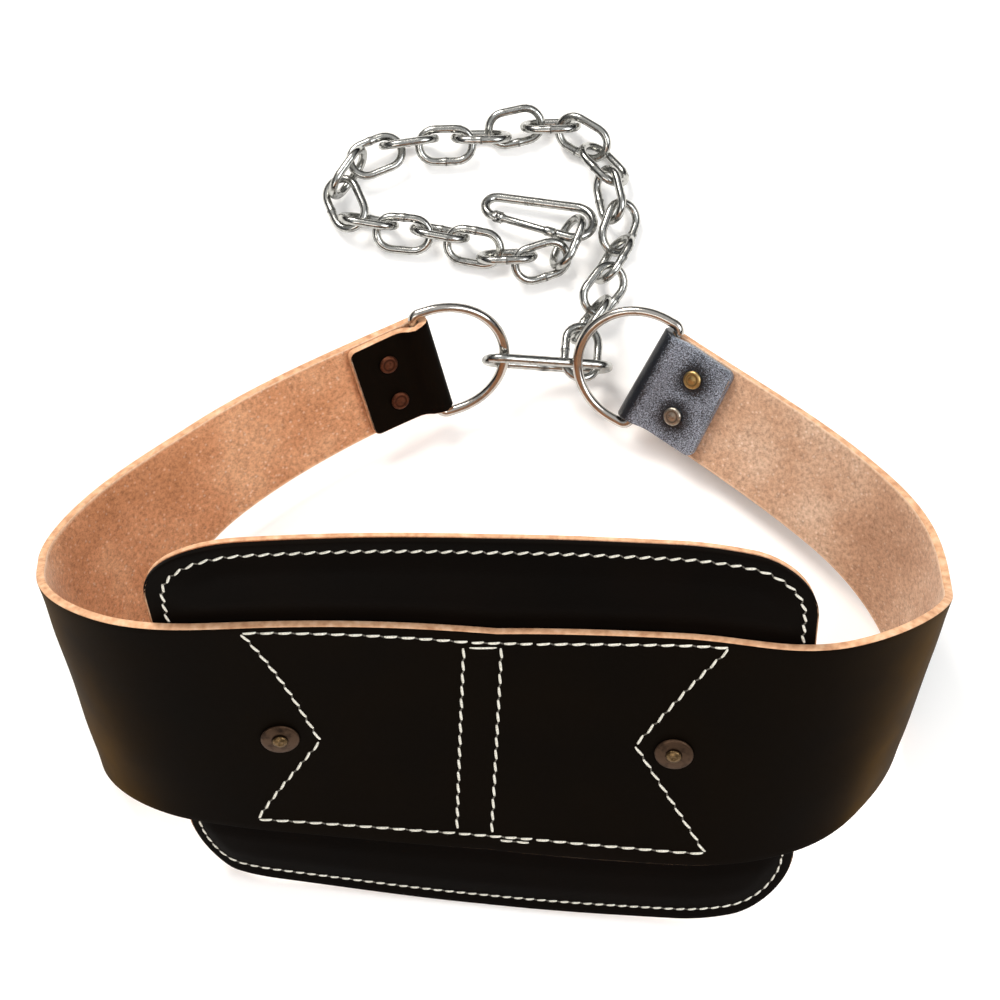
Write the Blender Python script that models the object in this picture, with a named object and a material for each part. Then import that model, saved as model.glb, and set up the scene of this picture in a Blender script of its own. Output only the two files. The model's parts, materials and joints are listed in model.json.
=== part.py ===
"""A leather dip belt lying as it rests: a tapering strap on a wide pad, D rings, a chain and a snap hook.

The floor is z = 0 and the belt's front faces -Y. Every piece on the leather is placed with leather(),
which turns (side, distance from the front, height across, depth) into a point on the leaning, curving strap.
"""

import math

import bmesh
import bpy
import numpy as np
from mathutils import Matrix, Vector

MM = 0.001
GAP = 0.35 * MM
PAD_GAP = 0.9 * MM
LINING_GAP = 0.45 * MM
RIVET_GAP = 0.6 * MM

# Leather strap
WALL = 4.0 * MM
STRAP_WIDE = 132.6 * MM
FRONT_HEIGHT = 92.5 * MM
# Share of a side's length, share of STRAP_WIDE
WIDTH_ROWS = ((0.0, 0.970), (0.30, 1.0), (0.50, 0.804), (0.75, 0.430), (1.0, 0.364))
# Share of the side's length, turn in radians per share, lean and rise in degrees
SIDES = {
    "left": {
        "sign": -1,
        "length": 471.9 * MM,
        "rows": (
            (0.00, -0.06, -31.5, 0.6),
            (0.18, -0.38, -27.0, 6.0),
            (0.34, 5.85, -19.1, -20.2),
            (0.46, 8.50, 1.2, -45.6),
            (0.58, 3.68, 30.6, -4.6),
            (0.76, 1.65, 35.0, -3.5),
            (1.00, 0.15, 39.5, -3.6),
        ),
    },
    "right": {
        "sign": 1,
        "length": 448.1 * MM,
        "rows": (
            (0.00, -0.06, -31.5, -0.6),
            (0.18, -0.01, -32.6, 2.7),
            (0.34, 5.39, -22.1, -11.2),
            (0.46, 5.31, -4.6, -44.0),
            (0.58, 6.05, 11.3, -9.2),
            (0.76, 1.44, 39.2, -7.6),
            (1.00, -0.10, 53.6, -1.9),
        ),
    },
}

# Folded ends round the D rings
RING_WIRE = 4.6 * MM
LOOP_INNER = RING_WIRE / 2 + 0.5 * MM
LOOP_BACK = 10.0 * MM
FLAP_LONG = 41.0 * MM
EDGE = 0.8 * MM

# Pad behind the front of the strap
PAD_WIDE = 278.0 * MM
PAD_ABOVE = 111.0 * MM
PAD_BELOW = 104.0 * MM
PAD_CORNER = 30.0 * MM
# Extra width at the pad's lower left as a share of its half width, and the height that it takes to grow
PAD_FLARE = 0.09
PAD_FLARE_BELOW = 60.0 * MM
PAD_FACE_WALL = 3.0 * MM
PAD_LINING_WALL = 2.5 * MM

# Rivets
BURR_WIDE = 17.2 * MM
BURR_AT = {"left": (-92.5 * MM, -3.5 * MM), "right": (80.0 * MM, 1.0 * MM)}
BURR_SHANK = 2.4 * MM
BURR_FOOT = 5.6 * MM
WASHER_THICK = 1.6 * MM
SHANK = 1.6 * MM
SHANK_PLAY = 0.5 * MM
END_RIVET_WIDE = 8.8 * MM
END_RIVET_IN = 24.5 * MM
END_RIVET_APART = 20.5 * MM
HOLE_REACH = 20.0 * MM

# D rings
RING_INSIDE = 50.8 * MM
RING_DEEP = 37.7 * MM
RING_CORNER = 3.6 * MM
RING_SHOULDER = 8.0 * MM
RING_TILT = {"left": 13.0, "right": 16.0}

# Long link between the left ring and the chain
LONG_LINK = 64.0 * MM
LONG_LINK_WIDE = 19.4 * MM
LONG_LINK_WIRE = 4.5 * MM
LONG_LINK_STEPS = 6
LONG_LINK_ENDS = ((-17.0 * MM, 206.1 * MM, 26.5 * MM), (40.5 * MM, 212.0 * MM, 9.6 * MM))
LONG_LINK_FACE = (0.0, 0.21, -0.98)

# Chain
LINK_LONG = 30.0 * MM
LINK_WIDE = 20.0 * MM
LINK_WIRE = 3.8 * MM
LINK_STEPS = 5
LINKS = 23
LINK_TILT = 0.6
LINK_GAP = 0.5 * MM
SWAY_MOST = 8.0 * MM
# Route from the long link to the hook: x, y, height above resting in mm, roll of the even links in degrees
ROUTE_ROWS = (
    (25.0, 209.5, 10.0, 80.0),
    (27.0, 228.0, 7.0, 70.0),
    (36.0, 250.0, 0.0, 55.0),
    (42.0, 285.0, 0.0, 55.0),
    (31.0, 322.0, 0.0, 50.0),
    (6.0, 339.0, 0.0, 35.0),
    (-35.0, 327.0, 0.0, 35.0),
    (-63.5, 323.0, 0.0, 25.0),
    (-83.0, 315.5, 0.0, 5.0),
    (-95.0, 297.5, 0.0, -15.0),
    (-85.5, 281.0, 0.0, -30.0),
    (-42.0, 276.0, 0.0, -35.0),
    (-8.0, 265.6, 0.0, -35.0),
    (8.5, 265.0, 0.0, -35.0),
    (20.0, 284.5, 1.0, -35.0),
)

# Snap hook, placed by the middle of its wire at its broad end, where the chain holds it
HOOK_WIRE = 4.6 * MM
HOOK_LONG = 58.0 * MM
HOOK_NARROW = 5.8 * MM
HOOK_BROAD = 9.4 * MM
HOOK_END = (28.8 * MM, 285.3 * MM, 8.0 * MM)
HOOK_ALONG = (0.980, -0.185, 0.060)
HOOK_ACROSS = (-0.195, -0.948, 0.252)
TANG = 0.42
HINGE_IN = 1.6 * MM
GATE_WIRE = 3.8 * MM
GATE_LONG = 30.0 * MM
GATE_COLLAR = 2.4 * MM
GATE_SLOT = 2.6 * MM
PIN = 0.7 * MM
PIN_LONG = 5.4 * MM
PIN_HOLE = 1.1 * MM

# Linear colour, metallic, roughness
FINISHES = {
    "black_leather": ((0.012, 0.011, 0.011), 0.0, 0.45),
    "tan_leather": ((0.30, 0.19, 0.12), 0.0, 0.85),
    "zinc_steel": ((0.62, 0.62, 0.60), 1.0, 0.28),
    "nickel_steel": ((0.70, 0.69, 0.66), 1.0, 0.18),
    "dark_bronze": ((0.10, 0.07, 0.05), 1.0, 0.45),
    "aged_copper": ((0.16, 0.09, 0.06), 1.0, 0.50),
    "worn_brass": ((0.42, 0.30, 0.13), 1.0, 0.40),
}
# Start of a piece's name, its material
SLOTS = (
    ("main_strap", "black_leather"),
    ("pad_face", "black_leather"),
    ("pad_lining", "tan_leather"),
    ("chain_link", "zinc_steel"),
    ("connecting_link", "zinc_steel"),
    ("carabiner", "zinc_steel"),
    ("left_d_ring", "nickel_steel"),
    ("right_d_ring", "nickel_steel"),
    ("left_burr", "dark_bronze"),
    ("right_burr", "dark_bronze"),
    ("left_", "aged_copper"),
    ("right_", "worn_brass"),
)


def smooth(knots, values):
    """A monotone cubic through the knots, returned as a function of an array."""
    x = np.asarray(knots, float)
    y = np.asarray(values, float)
    gap = np.diff(x)
    rate = np.diff(y) / gap
    slope = np.zeros(len(x))
    for i in range(1, len(x) - 1):
        if rate[i - 1] * rate[i] > 0:
            before = 2 * gap[i] + gap[i - 1]
            after = gap[i] + 2 * gap[i - 1]
            slope[i] = (before + after) / (before / rate[i - 1] + after / rate[i])
    for end, one, two in ((0, 0, 1), (-1, -1, -2)):
        first = ((2 * gap[one] + gap[two]) * rate[one] - gap[one] * rate[two]) / (gap[one] + gap[two])
        if first * rate[one] <= 0:
            first = 0.0
        elif rate[one] * rate[two] < 0 and abs(first) > 3 * abs(rate[one]):
            first = 3 * rate[one]
        slope[end] = first

    def at(where):
        where = np.asarray(where, float)
        i = np.clip(np.searchsorted(x, where, side="right") - 1, 0, len(gap) - 1)
        t = (where - x[i]) / gap[i]
        return (
            y[i] * (1 + 2 * t) * (1 - t) ** 2
            + y[i + 1] * t * t * (3 - 2 * t)
            + gap[i] * t * (1 - t) * (slope[i] * (1 - t) - slope[i + 1] * t)
        )

    return at


def unit(vector):
    """The vector at a length of 1."""
    vector = np.asarray(vector, float)
    return vector / np.linalg.norm(vector)


def stations(side, count=241):
    """Centre, along, across and outward directions and half width from the front centre to one end."""
    plan = SIDES[side]
    share = np.linspace(0, 1, count)
    knots = [row[0] for row in plan["rows"]]
    turn = smooth(knots, [row[1] for row in plan["rows"]])(share)
    lean = np.radians(smooth(knots, [row[2] for row in plan["rows"]])(share))
    rise = np.radians(smooth(knots, [row[3] for row in plan["rows"]])(share))
    heading = np.concatenate([[0], np.cumsum((turn[1:] + turn[:-1]) / 2 * np.diff(share))]) * plan["sign"]
    flat = plan["sign"] * np.cos(rise)
    along = np.stack([flat * np.cos(heading), flat * np.sin(heading), np.sin(rise)], 1)
    inward = np.stack([-np.sin(heading), np.cos(heading), np.zeros(count)], 1)
    up = np.cross(inward, along)
    up *= np.sign(up[:, 2:3])
    across = np.cos(lean)[:, None] * up - np.sin(lean)[:, None] * inward
    outward = -(np.cos(lean)[:, None] * inward + np.sin(lean)[:, None] * up)
    step = (along[1:] + along[:-1]) / 2 * plan["length"] / (count - 1)
    centre = np.vstack([np.zeros(3), np.cumsum(step, 0)]) + [0, 0, FRONT_HEIGHT]
    half = smooth([row[0] for row in WIDTH_ROWS], [row[1] for row in WIDTH_ROWS])(share) * STRAP_WIDE / 2
    return {"centre": centre, "along": along, "across": across, "outward": outward, "half": half}


STATIONS = {side: stations(side) for side in SIDES}


def frame_at(side, x):
    """Centre, along, across, outward and half width at x from the front centre, straight beyond the end."""
    line = STATIONS[side]
    length = SIDES[side]["length"]
    where = min(max(x / length, 0.0), 1.0) * (len(line["half"]) - 1)
    low = min(int(where), len(line["half"]) - 2)
    part = where - low
    mix = {key: line[key][low] * (1 - part) + line[key][low + 1] * part for key in line}
    along = unit(mix["along"])
    centre = mix["centre"] + along * max(x - length, 0.0)
    return centre, along, unit(mix["across"]), unit(mix["outward"]), float(mix["half"])


def leather(x, v, depth):
    """A point at x along the strap (negative to the left), v across it and depth under its outer face."""
    centre, _, across, outward, _ = frame_at("left" if x < 0 else "right", abs(x))
    return centre + across * v - outward * depth


def pad_point(x, v, depth):
    """A point of the pad at x, v and depth on the leather, moved out at its lower left."""
    share = min(max(-v / PAD_FLARE_BELOW, 0.0), 1.0)
    flare = PAD_FLARE * share * share * (3 - 2 * share) if x < 0 else 0.0
    return leather(x * (1 + flare), v, depth)


def material(slot):
    """A Principled material of one slot, made once."""
    if slot in bpy.data.materials:
        return bpy.data.materials[slot]
    colour, metallic, roughness = FINISHES[slot]
    made = bpy.data.materials.new(slot)
    made.use_nodes = True
    shader = made.node_tree.nodes["Principled BSDF"]
    shader.inputs["Base Color"].default_value = (*colour, 1.0)
    shader.inputs["Metallic"].default_value = metallic
    shader.inputs["Roughness"].default_value = roughness
    made.diffuse_color = (*colour, 1.0)
    return made


def mesh_object(name, points, faces):
    """A named object of points and faces, with the material of its slot."""
    mesh = bpy.data.meshes.new(name)
    mesh.from_pydata([tuple(map(float, point)) for point in points], [], faces)
    shape = bmesh.new()
    shape.from_mesh(mesh)
    bmesh.ops.triangulate(shape, faces=[face for face in shape.faces if len(face.verts) > 4])
    bmesh.ops.recalc_face_normals(shape, faces=shape.faces)
    shape.to_mesh(mesh)
    shape.free()
    for start, slot in SLOTS:
        if name.startswith(start):
            mesh.materials.append(material(slot))
            break
    thing = bpy.data.objects.new(name, mesh)
    bpy.context.scene.collection.objects.link(thing)
    return thing


def skin(name, rings, joined=False):
    """A solid skinned over equal rings of points, closed on itself or capped at both ends."""
    count = len(rings)
    sides = len(rings[0])
    points = [point for ring in rings for point in ring]
    faces = []
    for i in range(count if joined else count - 1):
        a = i * sides
        b = (i + 1) % count * sides
        for j in range(sides):
            k = (j + 1) % sides
            faces.append((a + j, a + k, b + k, b + j))
    if not joined:
        faces.append(tuple(range(sides)))
        faces.append(tuple((count - 1) * sides + j for j in range(sides)))
    return mesh_object(name, points, faces)


def tube(name, path, radius, normal, sides=8, joined=True, squeeze=None):
    """Round wire along a flat path. squeeze lists its thickness along the normal as shares of the wire."""
    path = np.asarray(path, float)
    normal = unit(normal)
    rings = []
    for i, point in enumerate(path):
        before = path[i - 1] if joined or i > 0 else path[0]
        after = path[(i + 1) % len(path)] if joined or i + 1 < len(path) else path[-1]
        one = unit(point - before) if np.linalg.norm(point - before) > 0 else unit(after - point)
        two = unit(after - point) if np.linalg.norm(after - point) > 0 else one
        forward = unit(one + two)
        corner = math.acos(max(-1, min(1, float(one @ two))))
        out = np.cross(forward, normal) / max(math.cos(corner / 2), 0.5)
        flat = 1.0 if squeeze is None else squeeze[i]
        ring = []
        for j in range(sides):
            angle = 2 * math.pi * (j + 0.5) / sides
            ring.append(point + radius * (math.cos(angle) * out + flat * math.sin(angle) * normal))
        rings.append(ring)
    return skin(name, rings, joined)


def turned(name, rows, at, axis, sides):
    """A solid turned round an axis: rows of (radius, height) from one end to the other."""
    axis = unit(axis)
    first = unit(np.cross(axis, (0.31, 0.17, 0.93)))
    second = np.cross(axis, first)
    rings = []
    for radius, height in rows:
        ring = []
        for j in range(sides):
            angle = 2 * math.pi * j / sides
            out = math.cos(angle) * first + math.sin(angle) * second
            ring.append(np.asarray(at) + axis * height + radius * out)
        rings.append(ring)
    return skin(name, rings)


def bore(thing, name, at, axis, radius, reach, sides=12):
    """Cuts a round hole along an axis through a thing."""
    cutter = turned(name, ((radius, -reach), (radius, reach)), at, axis, sides)
    cutter.hide_render = True
    cutter.display_type = "WIRE"
    cut = thing.modifiers.new(name, "BOOLEAN")
    cut.operation = "DIFFERENCE"
    cut.solver = "EXACT"
    cut.object = cutter
    return cutter


def strap_section(half, side_name, x, depth, angle):
    """One section of strap: x and depth of its middle, turned by angle in the plane of along and depth."""
    low = -half
    outline = (
        (low + EDGE, -WALL / 2),
        (low / 3, -WALL / 2),
        (half / 3, -WALL / 2),
        (half - EDGE, -WALL / 2),
        (half, -WALL / 2 + EDGE),
        (half, WALL / 2 - EDGE),
        (half - EDGE, WALL / 2),
        (half / 3, WALL / 2),
        (low / 3, WALL / 2),
        (low + EDGE, WALL / 2),
        (low, WALL / 2 - EDGE),
        (low, -WALL / 2 + EDGE),
    )
    ring = []
    for v, thick in outline:
        here = x - math.sin(angle) * thick
        under = depth + math.cos(angle) * thick
        centre, _, across, outward, _ = frame_at(side_name, here)
        ring.append(centre + across * v - outward * under)
    return ring


def fold_path(side):
    """(x, depth, angle) of the strap's middle round a D ring's bar and back along the flap."""
    length = SIDES[side]["length"]
    middle = LOOP_INNER + WALL / 2
    centre_x = length - LOOP_INNER - WALL
    centre_depth = WALL + LOOP_INNER
    drop = 2 * LOOP_INNER - GAP
    past = math.acos(1 - drop / (middle + LOOP_BACK))
    path = []
    for angle in np.linspace(0, math.pi + past, 9):
        path.append((centre_x + middle * math.sin(angle), centre_depth - middle * math.cos(angle), angle))
    back_x = centre_x - (middle + LOOP_BACK) * math.sin(past)
    back_depth = 1.5 * WALL + GAP + LOOP_BACK
    for angle in np.linspace(past, 0, 4)[1:]:
        x = back_x + LOOP_BACK * math.sin(angle)
        path.append((x, back_depth - LOOP_BACK * math.cos(angle), math.pi + angle))
    for x in np.linspace(back_x, length - FLAP_LONG, 4)[1:]:
        path.append((x, 1.5 * WALL + GAP, math.pi))
    return path


def front_columns():
    """Distances from the front centre at which both the pad and the strap have a section."""
    corners = [PAD_WIDE / 2 - PAD_CORNER * (1 - math.sin(angle)) for angle in np.radians((22, 44, 66, 90))]
    return list(np.linspace(0, PAD_WIDE / 2 - PAD_CORNER, 11)) + corners


def main_strap():
    """The strap from one folded end to the other, skinned over sections across it."""
    rings = []
    for side in ("left", "right"):
        length = SIDES[side]["length"]
        front = front_columns()
        arm = np.linspace(front[-1], length - LOOP_INNER - WALL, 27)[1:-1]
        path = [(x, WALL / 2, 0.0) for x in front + list(arm)] + fold_path(side)
        sections = []
        for x, depth, angle in path:
            half = frame_at(side, min(x, length))[4]
            if angle > 3.0:
                half -= 0.6 * MM
            sections.append(strap_section(half, side, x, depth, angle))
        if side == "left":
            rings = sections[:0:-1]
        else:
            rings = rings + sections
    return skin("main_strap", rings)


def pad(name, depth, wall, inset):
    """A sheet with rounded corners under the front of the strap."""
    wide = PAD_WIDE / 2 - inset
    above = PAD_ABOVE - inset
    below = PAD_BELOW - inset
    corner = PAD_CORNER - inset
    one_side = front_columns()
    columns = [-x for x in one_side[:0:-1]] + one_side
    rows = (0.0, 0.23, 0.445, 0.505, 0.76, 1.0)

    def outline(x, shrink):
        x = min(max(x, shrink - wide), wide - shrink)
        inside = max(abs(x) - (wide - corner), 0.0)
        cut = corner - math.sqrt(max((corner - shrink) ** 2 - inside**2, 0.0))
        return x, -below + cut, above - cut

    def layer(under, shrink):
        grid = []
        for x in columns:
            here, low, high = outline(x, shrink)
            grid.append([pad_point(here, low + (high - low) * row, under) for row in rows])
        return grid

    edge = 0.6 * MM
    grids = (
        layer(depth, edge),
        layer(depth + edge, 0.0),
        layer(depth + wall - edge, 0.0),
        layer(depth + wall, edge),
    )
    count = len(columns)
    high = len(rows)
    points = [point for grid in grids for line in grid for point in line]

    def index(layer_number, i, j):
        return (layer_number * count + i) * high + j

    faces = []
    for i in range(count - 1):
        for j in range(high - 1):
            for number in (0, 3):
                corners = ((i, j), (i + 1, j), (i + 1, j + 1), (i, j + 1))
                faces.append(tuple(index(number, m, n) for m, n in corners))
    around = [(i, 0) for i in range(count - 1)]
    around += [(count - 1, j) for j in range(high - 1)]
    around += [(i, high - 1) for i in range(count - 1, 0, -1)]
    around += [(0, j) for j in range(high - 1, 0, -1)]
    for number in range(3):
        for k, (i, j) in enumerate(around):
            m, n = around[(k + 1) % len(around)]
            near = (index(number, i, j), index(number, m, n))
            faces.append((*near, index(number + 1, m, n), index(number + 1, i, j)))
    used = sorted({corner_index for face in faces for corner_index in face})
    place = {old: new for new, old in enumerate(used)}
    faces = [tuple(place[old] for old in face) for face in faces]
    return mesh_object(name, [points[old] for old in used], faces)


def burr(side, leather_parts):
    """A washer with a peened pin on the strap's outer face, and holes for it through all layers."""
    x, v = BURR_AT[side]
    _, _, _, outward, _ = frame_at(side, abs(x))
    at = leather(x, v, 0.0)
    rim = BURR_WIDE / 2
    hole = BURR_SHANK + GAP
    top = RIVET_GAP + WASHER_THICK
    under = -(WALL + PAD_GAP + PAD_FACE_WALL + LINING_GAP + PAD_LINING_WALL + RIVET_GAP)
    rows = (
        (hole, RIVET_GAP),
        (rim - 0.5 * MM, RIVET_GAP),
        (rim, RIVET_GAP + 0.4 * MM),
        (rim, RIVET_GAP + 1.0 * MM),
        (rim - 0.9 * MM, top),
        (hole, top),
    )
    turned_ring(side + "_burr_washer", rows, at, outward, 16)
    pin_rows = (
        (0.8 * MM, top + 2.0 * MM),
        (2.6 * MM, top + 1.5 * MM),
        (3.6 * MM, top + GAP + 0.4 * MM),
        (3.4 * MM, top + GAP),
        (BURR_SHANK, top + GAP),
        (BURR_SHANK, under),
        (BURR_FOOT, under),
        (BURR_FOOT, under - 0.5 * MM),
        (0.75 * BURR_FOOT, under - 1.1 * MM),
    )
    turned(side + "_burr_rivet", pin_rows, at, outward, 12)
    for thing in leather_parts:
        bore(thing, "hole_" + side + "_burr_" + thing.name, at, outward, hole, HOLE_REACH)


def turned_ring(name, rows, at, axis, sides):
    """A ring turned round an axis from a closed outline of (radius, height)."""
    axis = unit(axis)
    first = unit(np.cross(axis, (0.31, 0.17, 0.93)))
    second = np.cross(axis, first)
    rings = []
    for j in range(sides):
        angle = 2 * math.pi * j / sides
        out = math.cos(angle) * first + math.sin(angle) * second
        rings.append([np.asarray(at) + axis * height + out * radius for radius, height in rows])
    return skin(name, rings, True)


def end_rivets(side, strap):
    """Two rivets through the flap and the strap at one end."""
    length = SIDES[side]["length"]
    x = length - END_RIVET_IN
    centre, _, across, outward, _ = frame_at(side, x)
    under = -(2 * WALL + GAP + RIVET_GAP)
    rim = END_RIVET_WIDE / 2
    for where, v in (("upper", END_RIVET_APART / 2), ("lower", -END_RIVET_APART / 2)):
        at = centre + across * v
        rows = (
            (rim * 0.5, RIVET_GAP + 2.0 * MM),
            (rim * 0.85, RIVET_GAP + 1.5 * MM),
            (rim, RIVET_GAP + 0.6 * MM),
            (rim, RIVET_GAP),
            (SHANK, RIVET_GAP),
            (SHANK, under),
            (rim, under),
            (rim, under - 0.6 * MM),
            (rim * 0.85, under - 1.4 * MM),
            (rim * 0.5, under - 1.9 * MM),
        )
        turned(side + "_" + where + "_end_rivet", rows, at, outward, 10)
        bore(strap, "hole_" + side + "_" + where, at, outward, SHANK + SHANK_PLAY, HOLE_REACH)


def d_ring(side):
    """A D ring whose bar runs through the folded end. Its bow tilts up from the strap's plane."""
    length = SIDES[side]["length"]
    centre, along, across, outward, _ = frame_at(side, length - LOOP_INNER - WALL)
    bar = centre - outward * (WALL + LOOP_INNER)
    tilt = math.radians(RING_TILT[side])
    reach = math.cos(tilt) * along - math.sin(tilt) * outward
    normal = np.cross(across, reach)
    half = RING_INSIDE / 2 + RING_WIRE / 2
    path = [(-half / 2, 0.0), (0.0, 0.0), (half / 2, 0.0)]
    for angle in np.radians((0, 45, 90)):
        path.append((half - RING_CORNER * (1 - math.sin(angle)), RING_CORNER * (1 - math.cos(angle))))
    for angle in np.radians(np.linspace(0, 180, 14)):
        path.append((half * math.cos(angle), RING_SHOULDER + (RING_DEEP - RING_SHOULDER) * math.sin(angle)))
    for angle in np.radians((90, 45, 0)):
        path.append((-half + RING_CORNER * (1 - math.sin(angle)), RING_CORNER * (1 - math.cos(angle))))
    points = [bar + across * v + reach * u for v, u in path]
    return tube(side + "_d_ring", points, RING_WIRE / 2, normal, 8)


def oval_path(centre, along, normal, long, wide, wire, bend):
    """The middle of the wire of an oval link, and the link's normal."""
    along = unit(along)
    normal = unit(np.asarray(normal) - along * float(np.dot(normal, along)))
    side = np.cross(normal, along)
    radius = (wide - wire) / 2
    straight = (long - wide) / 2
    path = []
    for end in (1, -1):
        for angle in np.linspace(-90, 90, bend + 1):
            a = math.radians(angle)
            path.append(
                np.asarray(centre)
                + along * end * (straight + radius * math.cos(a))
                + side * end * radius * math.sin(a)
            )
    return path, normal


def oval(name, centre, along, normal, long, wide, wire, sides, bend):
    """A chain link: an oval of round wire."""
    path, normal = oval_path(centre, along, normal, long, wide, wire, bend)
    return tube(name, path, wire / 2, normal, sides)


def long_link_place():
    """Centre, along and normal of the long link."""
    one, two = (np.asarray(end) for end in LONG_LINK_ENDS)
    return (one + two) / 2, two - one, np.cross(two - one, LONG_LINK_FACE)


def long_link():
    """The long link between the left ring and the chain."""
    sizes = (LONG_LINK, LONG_LINK_WIDE, LONG_LINK_WIRE)
    return oval("connecting_link", *long_link_place(), *sizes, 8, LONG_LINK_STEPS)


def route():
    """Joints of the chain at equal steps along its route: place, height above resting and roll."""
    rows = np.asarray(ROUTE_ROWS)
    flat = rows[:, :2] * MM
    travel = np.concatenate([[0], np.cumsum(np.linalg.norm(np.diff(flat, axis=0), axis=1))])
    fine = np.linspace(0, travel[-1], 600)
    curve = np.stack([smooth(travel, flat[:, 0])(fine), smooth(travel, flat[:, 1])(fine)], 1)
    length = np.concatenate([[0], np.cumsum(np.linalg.norm(np.diff(curve, axis=0), axis=1))])
    lift = smooth(travel, rows[:, 2] * MM)(fine)
    roll = smooth(travel, rows[:, 3])(fine)
    columns = (curve[:, 0], curve[:, 1], lift, roll)
    steps = np.linspace(0, length[-1], LINKS + 1)
    return np.stack([np.interp(steps, length, column) for column in columns], 1)


def chain():
    """Links from joint to joint, turned a quarter turn from one to the next, lowest side on the floor."""
    joints = route()
    radius = (LINK_WIDE - LINK_WIRE) / 2
    rolls = []
    heights = []
    for number in range(1, LINKS + 1):
        roll = (joints[number - 1, 3] + joints[number, 3]) / 2
        if number % 2:
            roll += -90.0 if roll > 0 else 90.0
        rolls.append(math.radians(roll))
        lift = (joints[number - 1, 2] + joints[number, 2]) / 2
        heights.append(LINK_WIRE / 2 + radius * abs(math.sin(rolls[-1])) + lift)
    for i in range(LINKS):
        near = [heights[j] for j in (i - 1, i + 1) if 0 <= j < LINKS]
        heights[i] = max(heights[i], max(near) - 2.4 * MM)
    sway = settle(joints, rolls, heights)
    for i in range(LINKS):
        centre, along, normal = link_place(i, joints, rolls, heights, sway)
        name = "chain_link_%02d" % (i + 1)
        oval(name, centre, along, normal, LINK_LONG, LINK_WIDE, LINK_WIRE, 6, LINK_STEPS)


def link_place(i, joints, rolls, heights, sway):
    """Centre, along and normal of one link, its ends moved sideways by half the sway of their joints."""
    ends = []
    for k in (i, i + 1):
        ahead = unit(joints[min(k + 1, LINKS), :2] - joints[max(k - 1, 0), :2])
        sideways = np.array([-ahead[1], ahead[0]]) * (1 if i % 2 else -1)
        ends.append(joints[k, :2] + sideways * sway[k] / 2)
    one, two = ends
    tilt = (heights[min(i + 1, LINKS - 1)] - heights[max(i - 1, 0)]) / 2
    centre = np.array([*(one + two) / 2, heights[i]])
    along = unit(np.array([*(two - one), tilt * LINK_TILT]))
    side = unit(np.cross((0, 0, 1), along))
    up = np.cross(along, side)
    return centre, along, math.cos(rolls[i]) * up + math.sin(rolls[i]) * side


def fine_path(path):
    """A closed path with seven more points along each of its straights."""
    points = np.asarray(path)
    steps = np.linspace(0, 1, 8, endpoint=False)[:, None]
    return np.concatenate([a + (b - a) * steps for a, b in zip(points, np.roll(points, -1, 0))])


def settle(joints, rolls, heights):
    """How far each pair of links lies apart sideways at its joint for one link to rest against the other."""
    sway = [0.0] * (LINKS + 1)
    sizes = (LONG_LINK, LONG_LINK_WIDE, LONG_LINK_WIRE)
    first = fine_path(oval_path(*long_link_place(), *sizes, LONG_LINK_STEPS)[0])

    def wire_middle(i):
        if i < 0:
            return first
        place = link_place(i, joints, rolls, heights, sway)
        return fine_path(oval_path(*place, LINK_LONG, LINK_WIDE, LINK_WIRE, LINK_STEPS)[0])

    def cost(k):
        """Missed gaps at a joint and at the joints on both sides of it."""
        total = 0.0
        low = max(k - 2, -1)
        wires = [wire_middle(i) for i in range(low, min(k + 2, LINKS))]
        for number, (before, after) in enumerate(zip(wires, wires[1:])):
            wire = LINK_WIRE if low + number >= 0 else (LINK_WIRE + LONG_LINK_WIRE) / 2
            gap = float(np.linalg.norm(before[:, None] - after[None], axis=2).min()) - wire
            total += abs(gap - LINK_GAP) if gap > LINK_GAP else 6 * (LINK_GAP - gap)
        return total

    for reach, count in ((SWAY_MOST, 17), (SWAY_MOST / 4, 9), (SWAY_MOST / 8, 7), (SWAY_MOST / 16, 7)):
        for k in range(LINKS):
            middle = sway[k]
            trials = []
            for trial in middle + np.linspace(-reach, reach, count):
                sway[k] = trial
                trials.append((cost(k) + abs(trial) * 0.04, trial))
            sway[k] = min(trials)[1]
    return sway


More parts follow.
